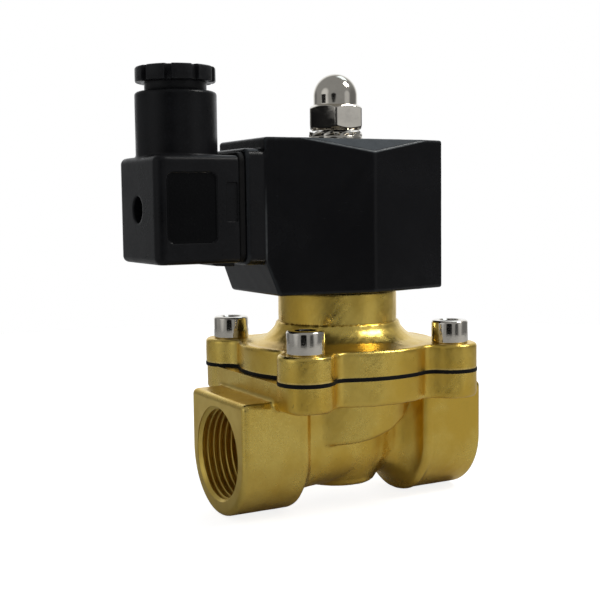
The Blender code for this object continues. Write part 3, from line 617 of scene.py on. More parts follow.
def rubber(name="rubber", a=(0.0045, 0.0045, 0.0048), b=(0.0100, 0.0100, 0.0100)):
    m = Mat(name, a, 0.0, 0.66, Specular_IOR_Level=0.16)
    bloom = m.range(m.noise(140, 5, 0.6), 0.4, 0.72, 0, 1, True)
    col = m.mix(bloom, a, b)
    r = m.range(bloom, 0, 1, 0.58, 0.76)
    n = m.bump(m.noise(1900, 4, 0.6), 0.00003, 0.7)
    return m.done(col, r, n)


def copper_wire():
    """Enamelled winding: tight turns side by side under amber lacquer."""
    m = Mat("winding_copper", (0.70, 0.27, 0.11), 1.0, 0.28, Coat_Weight=0.6, Coat_Roughness=0.15)
    turns = m.wave(2600 / (2 * pi) * 1.9, axis="Z", distort=0.15, detail=1)
    col = m.mix(m.range(turns, 0.0, 0.5, 1, 0), (0.74, 0.30, 0.13), (0.20, 0.06, 0.02))
    col = m.mix(m.range(m.noise(300, 3), 0.4, 0.7, 0, 0.4), col, (0.55, 0.20, 0.08))
    return m.done(col, m.range(m.noise(500, 3), 0.3, 0.7, 0.22, 0.38), m.bump(turns, 0.00010, 0.9))


def soft_iron(name="soft_iron", base=(0.43, 0.42, 0.41)):
    m = Mat(name, base, 1.0, 0.34)
    rings = m.wave(4200 / (2 * pi), axis="Z", distort=0.8, detail=3, dscale=25)
    cloud = m.range(m.noise(150, 5, 0.6), 0.4, 0.7, 0, 1, True)
    col = m.mix(cloud, base, tuple(c * 0.7 for c in base))
    return m.done(col, m.range(m.noise(420, 4), 0.3, 0.7, 0.28, 0.44), m.bump(rings, 0.000015, 0.6))


BRASS = cast_brass()
BRASS_X = turned_marks("port_face_brass", (0.85, 0.625, 0.155), (0.72, 0.49, 0.095), 0.30, "X")
BRASS_Z = turned_marks("turned_brass", (0.83, 0.60, 0.20), (0.72, 0.49, 0.13), 0.24, "Z")
STEEL = polished_steel()
SPRING_STEEL = polished_steel("spring_steel", (0.60, 0.59, 0.57), 0.20, 0.6)
COIL = coil_plastic()
PLUG = plug_plastic()
GLAND = plug_plastic("gland_plastic", (0.0120, 0.0122, 0.0136), (0.0180, 0.0184, 0.0205), 0.36)
PANEL = plug_plastic("plug_panel_plastic", (0.0022, 0.0023, 0.0028), (0.0036, 0.0037, 0.0044), 0.24, 0.09)
INSERT = plug_plastic("insert_plastic", (0.15, 0.15, 0.16), (0.20, 0.20, 0.21), 0.48)
BOBBIN = plug_plastic("bobbin_plastic", (0.50, 0.47, 0.40), (0.58, 0.56, 0.50), 0.46)
RUBBER = rubber()
COPPER = copper_wire()
IRON = soft_iron()
TINNED = polished_steel("tinned_brass", (0.70, 0.68, 0.63), 0.26, 0.5)


# ======================================================================
# the two castings
# ======================================================================
def ripple(x, y, z, a=0.035):
    """The slight waviness that a sand mould leaves."""
    return a * (np.sin(0.83 * x + 0.41 * y + 0.3 * z) * np.sin(0.62 * z - 0.5 * y + 1.3) + 0.6 * np.sin(1.9 * x - 1.1 * z + 0.7) * np.sin(1.5 * y + 0.9 * z))


def ears2(x, y):
    web = np.hypot(x, y) - WEB_R
    ear = np.hypot(np.abs(x) - EAR_X, np.abs(y) - EAR_Y) - EAR_R
    return rounded_or(web, ear, EAR_FILLET)


def chamber_floor(x):
    return 3.5 + 0.23 * x + 0.0085 * x * x


DUCT = [(-20.0, 15.4, -12.6), (-15.0, 15.3, -11.6), (-10.0, 15.0, -11.2), (-4.0, 14.2, -11.2), (2.0, 13.0, -11.0),
        (7.0, 11.4, -10.6), (11.5, 10.2, -10.6), (14.5, 10.4, -12.0), (17.0, 12.6, -14.4), (19.6, 15.6, -16.0)]


def smooth_rows(rows, n=400):
    """Catmull-Rom through the sections, sampled evenly for interpolation."""
    rows = np.array(rows, float)
    xs = np.linspace(rows[0, 0], rows[-1, 0], n)
    out = []
    for col in (1, 2):
        v, x = rows[:, col], rows[:, 0]
        m = np.gradient(v, x)
        k = np.clip(np.searchsorted(x, xs, side="right") - 1, 0, len(x) - 2)
        h = x[k + 1] - x[k]
        t = (xs - x[k]) / h
        out.append((2 * t**3 - 3 * t**2 + 1) * v[k] + (t**3 - 2 * t**2 + t) * h * m[k] + (-2 * t**3 + 3 * t**2) * v[k + 1] + (t**3 - t**2) * h * m[k + 1])
    return xs, out[0], out[1]


DX, DW, DF = smooth_rows(DUCT)


def port_block(x, y, z, x0, x1):
    ay = np.abs(y)
    up = rounded_and(ay - BLOCK_R, z - BLOCK_TOP, 1.6)
    low = np.hypot(y, z) - BLOCK_R
    sect = np.where(z > 0, up, low)
    mid, half = (x0 + x1) / 2, (x1 - x0) / 2
    return sect, np.abs(x - mid) - half


def lathe_field(r, z, prof, top=None, bottom=None):
    """r - R(z) with the slope taken out; top and bottom are not used."""
    zs = np.array([p[1] for p in prof])
    rs = np.array([p[0] for p in prof])
    R = np.interp(z, zs, rs)
    slope = np.interp(z, (zs[1:] + zs[:-1]) / 2, np.diff(rs) / np.maximum(np.diff(zs), 1e-6)) if len(zs) > 1 else 0
    return (r - R) / np.sqrt(1 + np.clip(slope, -4, 4) ** 2)


def spline_profile(pts, n=240):
    """Smooth R(z) through profile points, as (r, z) samples."""
    pts = np.array(pts, float)
    z = pts[:, 1]
    zs = np.linspace(z[0], z[-1], n)
    m = np.gradient(pts[:, 0], z)
    k = np.clip(np.searchsorted(z, zs, side="right") - 1, 0, len(z) - 2)
    h = z[k + 1] - z[k]
    t = (zs - z[k]) / h
    v = pts[:, 0]
    r = (2 * t**3 - 3 * t**2 + 1) * v[k] + (t**3 - 2 * t**2 + t) * h * m[k] + (-2 * t**3 + 3 * t**2) * v[k + 1] + (t**3 - t**2) * h * m[k + 1]
    return list(zip(r, zs))


CUP = spline_profile([(7.0, -12.5), (9.1, -11.6), (10.35, -9.4), (11.1, -6.2), (11.6, -2.0), (11.8, 2.0), (11.8, 6.0)])


def body_field(x, y, z):
    r = np.hypot(x, y)
    # flange: straight across each port end, a little short on the inlet side
    plan = rounded_or(ears2(x, y), np.maximum(np.abs(x) - 29.6, np.abs(y) - EAR_Y), 0.3)
    plan = rounded_and(plan, -29.5 - x, 1.4)
    flange = rounded_and(plan, np.abs(z - (FLANGE_BOT + 23.0) / 2) - (23.0 - FLANGE_BOT) / 2, 1.15)
    # chamber wall with its sloping floor
    slope = 1 / np.sqrt(1 + (0.23 + 0.017 * x) ** 2)
    wall = rounded_and(r - CHAMBER_WALL_R, np.maximum((chamber_floor(x) - z) * slope, z - 18.0), 1.4)
    # duct
    w, f = np.interp(x, DX, DW), -np.interp(x, DX, DF)
    p = 2.33
    q = ((np.abs(y) / w) ** p + (np.maximum(-z, 0) / f) ** p) ** (1 / p)
    duct = (q - 1) * np.minimum(w, f) * 0.92
    duct = np.maximum(duct, np.maximum(z - 11.0, np.abs(x + 0.2) - 19.9))
    # cup under the seat
    cup = rounded_and(lathe_field(r, z, CUP), np.maximum(-12.5 - z, z - 8.0), 1.6)
    core = rounded_or(duct, cup, 1.6)
    core = rounded_or(core, wall, 0.55)
    # port blocks
    sl, el = port_block(x, y, z, -PORT_END, BLOCK_IN_L)
    sr, er = port_block(x, y, z, BLOCK_IN_R, PORT_END)
    # soft inner edge, crisper port edge
    bl = np.where(x < -28, rounded_and(sl, el, 1.5), rounded_and(sl, el, 1.3))
    br = np.where(x > 28, rounded_and(sr, er, 1.5), rounded_and(sr, er, 1.3))
    blocks = np.minimum(bl, br)
    core = rounded_or(core, blocks, 1.5)
    d = rounded_or(core, flange, 1.1)
    d = d + ripple(x, y, z) * np.clip((36.8 - np.abs(x)) / 2.0, 0, 1) * np.clip((20.2 - z) / 2.0, 0, 1)
    # inside
    floor = chamber_floor(x) + 2.4
    ring = np.maximum(np.maximum(r - 17.5, 11.5 - r), np.maximum((floor - z) * slope, z - 15.0))
    over = np.maximum(r - 17.5, 14.5 - z)
    cham = rounded_or(ring, over, 0.3)
    d = rounded_cut(d, cham, 0.4)
    bore = np.maximum(lathe_field(r, z, [(4.5, -9.0), (5.5, -8.6), (8.2, -6.4), (9.0, -3.0), (9.0, 16.0)]), np.maximum(-9.0 - z, z - 16.0))
    outlet = np.maximum(np.hypot(y, z + 3.9) - 6.8, np.abs(x - 12.0) - 12.0)
    inlet = np.maximum(np.hypot(y, z - 2.4) - 7.0, np.abs(x + 18.35) - 5.65)
    d = rounded_cut(d, rounded_or(bore, outlet, 0.6), 0.5)
    d = rounded_cut(d, inlet, 0.5)
    hole = np.maximum(np.hypot(np.abs(x) - EAR_X, np.abs(y) - EAR_Y) - 3.3, 15.0 - z)
    return np.maximum(d, -hole)


def thread_cutter(name, sign, x_in, x_out, minor, major, mouth, pitch=1.814, n=96):
    """Female pipe thread cut on the X axis from x_out inwards.  Each row
    follows the helix, so that crests and roots stay true lines."""
    phases = [0.0, 0.05, 0.10, 0.16, 0.27, 0.38, 0.44, 0.5, 0.56, 0.62, 0.73, 0.84, 0.90, 0.95]
    m = len(phases)
    deep = major - minor

    def radius(u, x):
        u = u % 1.0
        t = min(1.0, max(0.0, (abs(u - 0.5) * 2 - 0.13) / 0.74))
        t = t * t * (3 - 2 * t) * 0.35 + t * 0.65
        fade = min(1.0, max(0.0, (x - x_in) / (pitch * 1.6)))
        r = minor + deep * t * fade
        cone = minor + (mouth - minor) * max(0.0, 1 - (x_out - x) / 1.7)
        return max(r, cone)

    turns = int((x_out - x_in) / pitch) + 3
    P, F = [], []
    rows = turns * m
    idx = {}
    for j in range(rows + m):
        for k in range(n):
            x = x_in - pitch + (j // m + phases[j % m]) * pitch + pitch * k / n
            u = (j // m + phases[j % m])
            xc = min(max(x, x_in), x_out)
            rr = radius(phases[j % m], xc)
            a = 2 * pi * k / n
            idx[j, k] = len(P)
            P.append((sign * xc, rr * cos(a), sign * rr * sin(a)))
    for j in range(rows - 1):
        for k in range(n):
            if k < n - 1:
                q = (idx[j, k], idx[j + 1, k], idx[j + 1, k + 1], idx[j, k + 1])
            else:
                q = (idx[j, k], idx[j + 1, k], idx[j + 1 + m, 0], idx[j + m, 0])
            F.append(q)
    bm = bmesh.new()
    vs = [bm.verts.new([c * MM for c in p]) for p in P]
    for q in F:
        if len({tuple(round(c, 9) for c in vs[i].co) for i in q}) >= 3:
            try:
                bm.faces.new([vs[i] for i in q])
            except ValueError:
                pass
    bmesh.ops.remove_doubles(bm, verts=bm.verts, dist=2e-6)
    bmesh.ops.dissolve_degenerate(bm, dist=1e-6, edges=bm.edges)
    loose = [v for v in bm.verts if not v.link_faces]
    bmesh.ops.delete(bm, geom=loose, context="VERTS")
    rim = [e for e in bm.edges if len(e.link_faces) == 1]
    bmesh.ops.holes_fill(bm, edges=rim, sides=0)
    bmesh.ops.recalc_face_normals(bm, faces=bm.faces)
    me = bpy.data.meshes.new(name)
    bm.to_mesh(me)
    bm.free()
    ob = bpy.data.objects.new(name, me)
    bpy.context.scene.collection.objects.link(ob)
    return ob


def close_flat(ob, z, up):
    """Mills a casting flat at height z, keeping the inner openings open."""
    bm = bmesh.new()
    bm.from_mesh(ob.data)
    res = bmesh.ops.bisect_plane(bm, geom=bm.verts[:] + bm.edges[:] + bm.faces[:], dist=1e-7, plane_co=(0, 0, z * MM), plane_no=(0, 0, 1 if up else -1),
                                 clear_outer=True, clear_inner=False)
    edges = [e for e in res["geom_cut"] if isinstance(e, bmesh.types.BMEdge)]
    bmesh.ops.triangle_fill(bm, use_beauty=True, use_dissolve=False, edges=edges, normal=(0, 0, 1 if up else -1))
    bmesh.ops.recalc_face_normals(bm, faces=bm.faces)
    bm.to_mesh(ob.data)
    bm.free()


def paint(ob, mats, rule):
    """Gives each face the material that rule(centre_mm, normal) names."""
    me = ob.data
    me.materials.clear()
    for m in mats:
        me.materials.append(m)
    n = len(me.polygons)
    c = np.empty(n * 3, np.float32)
    me.polygons.foreach_get("center", c)
    nn = np.empty(n * 3, np.float32)
    me.polygons.foreach_get("normal", nn)
    idx = rule(c.reshape(-1, 3).astype(float) / MM, nn.reshape(-1, 3).astype(float)).astype(np.int32)
    me.polygons.foreach_set("material_index", idx)


H_BODY = 0.42
P, Q = nets(body_field, (-39.2, -31.5, -18.2), (39.2, 31.5, 22.6), H_BODY)
body = obj_from("body_casting", P, Q, smooth=None)
close_flat(body, FLANGE_TOP, True)
# pipe threads in both ends
shared = dict(minor=12.05, major=13.2, mouth=13.7)
for sign in (-1, 1):
    cut(body, thread_cutter("thread", sign, PORT_END - 16.4, PORT_END + 0.8, **shared))
    cut(body, turned("bore", [(0, PORT_END - 18.0), (8.55, PORT_END - 18.0), (12.0, PORT_END - 16.4), (12.0, PORT_END - 8), (0, PORT_END - 8)], 96,
                     axis=(sign, 0, 0)))
shade(body, 32)


def body_rule(c, n):
    ax = np.abs(c[:, 0])
    rr = np.hypot(c[:, 1], c[:, 2])
    port = ((ax > PORT_END - 0.12) & (np.abs(n[:, 0]) > 0.9)) | ((rr < 13.9) & (ax > PORT_END - 18.2) & (np.abs(c[:, 2]) < 14))
    top = (c[:, 2] > FLANGE_TOP - 0.05) & (n[:, 2] > 0.9)
    return np.where(port, 1, np.where(top, 2, 0))


paint(body, [BRASS, BRASS_X, BRASS_Z], body_rule)
show(body, "valve", "valve_body")

BONNET_PROFILE = spline_profile([(24.4, 26.8), (23.4, 28.6), (21.4, 29.5), (19.5, 30.8), (18.0, 32.4), (17.25, 33.9)])


def bonnet_field(x, y, z):
    r = np.hypot(x, y)
    flange = rounded_and(ears2(x, y), np.abs(z - (20.0 + BONNET_FLANGE_TOP) / 2) - (BONNET_FLANGE_TOP - 20.0) / 2, 1.0)
    cone = np.maximum(lathe_field(r, z, BONNET_PROFILE), np.maximum(z - 34.05, 25.0 - z))
    d = rounded_or(flange, cone, 1.3)
    neck = rounded_and(r - NECK_R, np.maximum(z - NECK_TOP, 30.0 - z), 0.5)
    d = rounded_or(d, neck, 0.25)
    d = d + ripple(x + 11, y, z, 0.03) * np.clip((z - 22.0) / 2.0, 0, 1) * np.clip((NECK_TOP - 0.6 - z), 0, 1)
    hole = np.hypot(np.abs(x) - EAR_X, np.abs(y) - EAR_Y) - 3.3
    return np.maximum(d, -hole)


P, Q = nets(bonnet_field, (-31.5, -31.5, 18.8), (31.5, 31.5, 43.8), H_BODY)
bonnet = obj_from("bonnet_casting", P, Q, smooth=None)
close_flat(bonnet, BONNET_BOT, False)
cut(bonnet, turned("inside", [(0, 21.0), (17.5, 21.0), (17.5, 26.0), (17.1, 27.1), (16.0, 27.5), (7.85, 27.5), (7.85, 34.2), (9.95, 34.2), (9.95, 36.0), (12.4, 36.0),
                              (12.4, 43.5), (0, 43.5)], 128))
shade(bonnet, 32)


def bonnet_rule(c, n):
    r = np.hypot(c[:, 0], c[:, 1])
    inner = (r < 17.6) & (c[:, 2] < 27.6) | (r < 12.6)
    under = (c[:, 2] < BONNET_BOT + 0.05) & (n[:, 2] < -0.9)
    return np.where(inner | under, 1, 0)


paint(bonnet, [BRASS, BRASS_Z], bonnet_rule)
show(bonnet, "valve", "bonnet")


# ======================================================================
# screws, diaphragm and stem
# ======================================================================
def hex_outline(af, phase=0.0):
    r = af / 2 / cos(pi / 6)
    return [(r * cos(pi / 3 * k + phase), r * sin(pi / 3 * k + phase)) for k in range(6)]


def cap_screw(name, x, y):
    z0, z1 = BONNET_FLANGE_TOP - 0.02, 34.62
    prof = fillet_profile([(0, 15.6), (2.2, 15.6), (2.9, 16.3), (2.9, z0), (4.78, z0), (5.0, z0 + 0.24), (5.0, z1), (0, z1)],
                          [0, 0, 0.3, 0, 0, 0.1, 0.75, 0], 6)
    ob = turned(name, prof, 96, STEEL, smooth=30, axis=(0, 0, 1))
    sock = extruded("socket", hex_outline(5.0, pi / 6 + 0.9 * x), z1 - 3.1, z1 + 1.0)
    tip = turned("tip", [(0, z1 - 4.3), (2.45, z1 - 3.05), (0, z1 - 3.0)], 48)
    cone = turned("cone", [(0, z1 - 0.6), (2.45, z1 - 0.45), (3.2, z1 + 0.05), (3.2, z1 + 1), (0, z1 + 1)], 96)
    cut(ob, sock, tip, cone)
    shade(ob, 30)
    ob.data.materials.clear()
    ob.data.materials.append(STEEL)
    ob.location = (x * MM, y * MM, 0)
    return ob


for i, (x, y) in enumerate(EARS):
    show(cap_screw("bonnet_cap_screw_%d" % (i + 1), x, y), "valve", "bonnet_screw_%d" % (i + 1))


def ear_radius(a, inset):
    """Distance from the stem axis to the flange's edge at angle a."""
    lo_r, hi_r = 20.0, 45.0
    for _ in range(40):
        m = (lo_r + hi_r) / 2
        if float(ears2(m * cos(a), m * sin(a))) < -inset:
            lo_r = m
        else:
            hi_r = m
    return lo_r


N_RIM = 300
RIM_R = [ear_radius(2 * pi * k / N_RIM, -0.04) for k in range(N_RIM)]
sheet = fillet_profile([(29.5, 20.73), (29.6, 20.60), (30.05, 20.60), (30.12, 20.75), (30.12, 21.50), (30.05, 21.66), (29.6, 21.66), (29.5, 21.53), (16.9, 21.53), (15.9, 21.40), (14.6, 20.4), (13.1, 18.1), (11.6, 17.3), (3.6, 17.3), (3.6, 14.85), (11.3, 14.85),
                        (12.6, 15.7), (13.9, 17.6), (15.2, 20.0), (16.0, 20.73)],
                       [0.02, 0.05, 0.08, 0.1, 0.1, 0.08, 0.05, 0.02, 0.6, 0.8, 1.2, 1.6, 1.2, 0.2, 0.2, 1.2, 1.2, 1.2, 1.0, 0.2], 5, closed=True)
first = [i for i, p in enumerate(sheet) if p[0] > 29]
dia = turned("diaphragm_sheet", sheet, N_RIM, RUBBER, closed=True, smooth=40,
             radial=lambda i, a, r: r + (RIM_R[int(round(a / (2 * pi) * N_RIM)) % N_RIM] - 30.0) if r > 24 else r)
cut(dia, *[turned("hole", [(0, 20), (3.3, 20), (3.3, 22), (0, 22)], 40, origin=(x, y, 0)) for x, y in EARS])
shade(dia, 40)
dia.data.materials.clear()
dia.data.materials.append(RUBBER)
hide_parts("diaphragm")
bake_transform(dia)


def simple(name, prof, radii, body_name, node, mat, n=96, closed=True, origin=(0, 0, 0), axis=(0, 0, 1), smooth=35):
    p = fillet_profile(prof, radii, 4, closed=closed)
    return show(turned(name, p, n, mat, closed=closed, origin=origin, axis=axis, smooth=smooth), body_name, node)


R2 = [0.25] * 30
simple("diaphragm_top_plate", [(3.6, 17.45), (9.2, 17.45), (9.6, 18.0), (9.6, 18.8), (9.3, 19.1), (3.6, 19.1)], R2, "diaphragm_core", "diaphragm_plate", BRASS_Z)
simple("diaphragm_under_washer", [(3.6, 13.1), (6.0, 13.1), (6.4, 13.5), (6.4, 14.7), (3.6, 14.7)], R2, "diaphragm_core", "diaphragm_washer", BRASS_Z)
simple("pilot_seat_rivet", [(1.0, 11.2), (4.6, 11.2), (5.0, 11.6), (5.0, 12.95), (3.25, 12.95), (3.25, 19.6), (2.2, 20.6), (1.0, 20.6)], [0.15] * 8, "diaphragm_core", "pilot_seat", STEEL, 72)


def spring(name, radius, wire, lo_z, hi_z, turns, per_turn=56, sides=14):
    """Compression spring with closed and ground ends."""
    steps = int(turns * per_turn)
    free = hi_z - lo_z - 2 * wire
    P, F = [], []
    for k in range(steps + 1):
        t = k / steps
        a = 2 * pi * turns * t
        lead = 1.0 / turns
        if t < lead:
            s = 0.5 * (t / lead) ** 2 * lead
        elif t > 1 - lead:
            s = (1 - lead) - 0.5 * ((1 - t) / lead) ** 2 * lead
        else:
            s = t - 0.5 * lead
        z = lo_z + wire + free * s / (1 - lead)
        grind = min(1.0, 0.35 + min(t, 1 - t) / lead * 0.9)
        for m in range(sides):
            b = 2 * pi * m / sides
            rr = radius + wire * cos(b)
            dz = wire * sin(b)
            if t < 0.5:
                dz = max(dz, -wire * grind)
            else:
                dz = min(dz, wire * grind)
            P.append((rr * cos(a), rr * sin(a), z + dz))
    for k in range(steps):
        for m in range(sides):
            j = (m + 1) % sides
            F.append((k * sides + m, k * sides + j, (k + 1) * sides + j, (k + 1) * sides + m))
    F.append(tuple(range(sides))[::-1])
    F.append(tuple(range(steps * sides, (steps + 1) * sides)))
    ob = obj_from(name, P, F, SPRING_STEEL, smooth=None)
    outward(ob)
    shade(ob, 40)
    return ob


ds = spring("diaphragm_coil_spring", 8.5, 0.5, 19.4, 27.2, 4.0)
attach(ds, "valve")
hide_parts("diaphragm_spring")
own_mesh(ds)
ps = spring("plunger_coil_spring", 3.3, 0.45, 40.3, 61.2, 6.0)
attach(ps, "valve")
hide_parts("plunger_spring")
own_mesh(ps)

simple("stem_guide_tube", [(6.8, 27.8), (7.5, 27.8), (7.5, 36.3), (12.0, 36.3), (12.0, 37.8), (7.5, 37.8), (7.5, 77.0), (6.8, 77.0)],
       [0.1, 0.2, 0.3, 0.2, 0.3, 0.5, 0.1, 0.1], "valve", "stem_tube", STEEL)
simple("stem_o_ring", [(8.85 + 0.78 * cos(2 * pi * k / 20), 35.12 + 0.78 * sin(2 * pi * k / 20)) for k in range(20)], [], "valve", "stem_oring", RUBBER, smooth=None)
ring = turned("stem_clamp_ring", fillet_profile([(7.9, 38.1), (12.1, 38.1), (12.1, 42.3), (7.9, 42.3)], [0.4] * 4, 3, closed=True), 96, BRASS_Z, closed=True)
cut(ring, extruded("slot", [(-14, -1.2), (14, -1.2), (14, 1.2), (-14, 1.2)], 40.6, 44))
shade(ring, 35)
ring.data.materials.clear()
ring.data.materials.append(BRASS_Z)
show(ring, "valve", "stem_ring_nut")


def stud_thread(r, z0, z1, pitch, depth):
    """Profile of a male thread drawn as close rings, for inner pieces."""
    pts, z = [], z0
    while z < z1 - pitch:
        pts += [(r - depth, z), (r - depth, z + pitch * 0.12), (r, z + pitch * 0.44), (r, z + pitch * 0.56), (r - depth, z + pitch * 0.88)]
        z += pitch
    return pts


core = [(0, 61.5), (4.2, 61.5), (4.2, 59.3), (4.8, 59.3), (4.8, 60.9), (6.0, 60.9), (6.0, 59.3), (6.5, 59.3), (6.5, 77.3), (7.5, 77.3), (7.5, 83.4), (3.9, 83.4)]
core += stud_thread(4.0, 84.0, 94.4, 1.25, 0.62) + [(3.3, 94.6), (2.8, 95.2), (0, 95.2)]
show(turned("fixed_core_post", core, 72, IRON), "valve", "fixed_core")
simple("shading_ring_band", [(5.1, 59.35), (5.7, 59.35), (5.7, 60.6), (5.1, 60.6)], [0.1] * 4, "valve", "shading_ring", COPPER)
pl = fillet_profile([(0, 23.8), (3.4, 23.8), (3.4, 21.2), (5.8, 21.2), (6.4, 21.9), (6.4, 53.4), (5.9, 54.0), (4.2, 54.0), (4.2, 40.0), (0, 40.0)],
                    [0, 0.1, 0.2, 0.3, 0.3, 0.3, 0.2, 0.2, 0.1, 0], 3)
show(turned("plunger_slug", pl, 96, IRON), "plunger", "plunger")
simple("plunger_seal_disc", [(0, 20.9), (2.8, 20.9), (3.1, 21.2), (3.1, 23.5), (0, 23.5)], [0, 0.2, 0.2, 0.2, 0], "plunger", "plunger_seal", RUBBER, 72, closed=False)


# ======================================================================
# coil
# ======================================================================
def coil_field(x, y, z):
    a, b, c = COIL_A, COIL_B, COIL_C
    ax, ay = np.abs(x), np.abs(y)
    # V faces meet in the long ridge; end faces stand at +-a
    nx, ny = (c - b), a
    ln = hypot(nx, ny)
    left = (x * (-nx) + (ay - c) * ny) / ln
    right = (x * nx + (ay - c) * ny) / ln
    v = rounded_and(left, right, 0.3)
    ends = np.maximum(x - a, SIDE_X - x)
    plan = rounded_and(v, ends, 0.55)
    d = rounded_and(plan, np.abs(z - (COIL_BOT + COIL_TOP) / 2) - (COIL_TOP - COIL_BOT) / 2, 0.75)
    # sloping triangular facet over each ridge
    edge = b + (c - b) * (a - 20.0) / a
    n = np.array([0.0, COIL_TOP - 80.3, c - edge])
    n /= np.linalg.norm(n)
    facet = (ay - edge) * n[1] + (z - COIL_TOP) * n[2]
    d = rounded_and(d, facet, 0.3)
    # side that carries the plug
    s = hypot(SIDE_X + a, 51.8 - COIL_BOT)
    under = ((51.8 - COIL_BOT) * -(x + a) + (SIDE_X + a) * (z - COIL_BOT)) / s
    d = rounded_and(d, under, 0.5)
    side = rounded_and(np.maximum(SIDE_X - x, x + 15.0), under, 0.5)
    side = np.maximum(rounded_and(side, ay - 14.5, 0.55), v)
    side = rounded_and(side, np.abs(z - (COIL_BOT + COIL_TOP) / 2) - (COIL_TOP - COIL_BOT) / 2, 0.75)
    d = rounded_or(d, side, 0.3)
    boss = rounded_and(box2(y, z - 66.2, 14.0, 15.0, 2.6), np.maximum(BOSS_X - x, x + 26.0), 0.8)
    d = rounded_or(d, boss, 0.35)
    d = d + ripple(x, y, z, 0.012)
    r = np.hypot(x, y)
    bore = r - 8.2
    bore = rounded_or(bore, np.maximum(r - 17.2, np.abs(z - 63.5) - 17.0), 0.3)
    d = rounded_cut(d, bore, 0.4)
    # sockets of the blades and the thread of the fixing screw
    zc = z - CON_MID
    slots = np.minimum(np.maximum(np.abs(ay - 9.0) - 0.55, np.abs(zc) - 3.3), np.maximum(np.abs(y) - 3.3, np.abs(z - 57.1) - 0.55))
    slots = np.minimum(slots, np.hypot(y, zc) - 1.8)
    slots = np.maximum(slots, x + 30.7)
    return np.maximum(d, -slots)


H_COIL = 0.36
P, Q = nets(coil_field, (-35.6, -21.6, 42.0), (27.0, 21.6, 85.0), H_COIL)
coil = obj_from("coil_moulding", P, Q, COIL, smooth=32)
show(coil, "coil", "coil_housing")

simple("bobbin_spool", [(7.9, 48.6), (15.6, 48.6), (15.6, 50.0), (9.2, 50.0), (9.2, 77.0), (15.6, 77.0), (15.6, 78.4), (7.9, 78.4)], [0.15, 0.3, 0.3, 0.4, 0.4, 0.3, 0.3, 0.15],
       "coil", "coil_bobbin", BOBBIN)
wind = [(9.5, 50.3)] + [(14.9 + 0.16 * abs(sin(pi * (k + 0.5))) + (0.0 if k % 2 else -0.16), 50.5 + 26.0 * k / 104) for k in range(105)] + [(9.5, 76.7)]
show(turned("copper_winding", wind, 96, COPPER, closed=True, smooth=60), "coil", "coil_winding")
simple("yoke_tube", [(15.95, 48.6), (16.85, 48.6), (16.85, 78.4), (15.95, 78.4)], [0.15] * 4, "coil", "yoke_sleeve", IRON)
simple("yoke_plate_lower", [(7.95, 46.8), (16.85, 46.8), (16.85, 48.3), (7.95, 48.3)], [0.2] * 4, "coil", "yoke_lower_plate", IRON)
simple("yoke_plate_upper", [(7.95, 78.7), (16.85, 78.7), (16.85, 80.2), (7.95, 80.2)], [0.2] * 4, "coil", "yoke_upper_plate", IRON)


def blade(name, y, z, ty, tz, node):
    """Flat plug blade, 6.3 by 0.8, with rounded edges and a bevelled tip."""
    tip = -44.6
    wide_z = tz > ty
    w, t = max(ty, tz) / 2, min(ty, tz) / 2
    P, F = [], []
    rows = [(-30.9, 1.0, 1.0), (-42.6, 1.0, 1.0), (-43.4, 0.94, 0.9), (tip + 0.25, 0.74, 0.6), (tip, 0.62, 0.35)]
    sect = [(sx * (w - 0.12 * (k == 0)), sy * (t - 0.12 * (k == 1))) for sx, sy, k in
            ((-1, -1, 0), (1, -1, 0), (1, -1, 1), (1, 1, 1), (1, 1, 0), (-1, 1, 0), (-1, 1, 1), (-1, -1, 1))]
    for x, sw, st in rows:
        for u_, v_ in sect:
            P.append((x, y + (v_ * st if wide_z else u_ * sw), z + (u_ * sw if wide_z else v_ * st)))
    m = len(sect)
    for k in range(len(rows) - 1):
        for i in range(m):
            j = (i + 1) % m
            F.append((k * m + i, k * m + j, (k + 1) * m + j, (k + 1) * m + i))
    F.append(tuple(range(m)))
    F.append(tuple(range((len(rows) - 1) * m, len(rows) * m))[::-1])
    ob = obj_from(name, P, F, TINNED, smooth=None)
    outward(ob)
    shade(ob, 30)
    show(ob, "coil", node)


blade("blade_1", -9.0, CON_MID, 0.8, 6.3, "terminal_blade_1")
blade("blade_2", 9.0, CON_MID, 0.8, 6.3, "terminal_blade_2")
blade("blade_earth", 0.0, 57.1, 6.3, 0.8, "terminal_blade_earth")


# ======================================================================
# plug
# ======================================================================
def gasket_field(x, y, z):
    ring = rounded_and(box2(y, z - 66.15, 13.4, 14.05, 2.4), np.abs(x + 35.6) - 0.92, 0.35)
    inner = box2(y, z - 65.9, 10.6, 10.5, 1.5)
    d = rounded_cut(ring, inner, 0.35)
    # sealing bead round the plug side
    bead = np.hypot(x + 36.0, np.abs(box2(y, z - 66.0, 12.0, 12.2, 2.0))) - 0.45
    return rounded_or(d, bead, 0.2)


P, Q = nets(gasket_field, (-37.2, -14.2, 51.3), (-34.0, 14.2, 81.0), 0.3)
gask = obj_from("gasket_profile", P, Q, RUBBER, smooth=40)
show(gask, "coil", "connector_gasket")


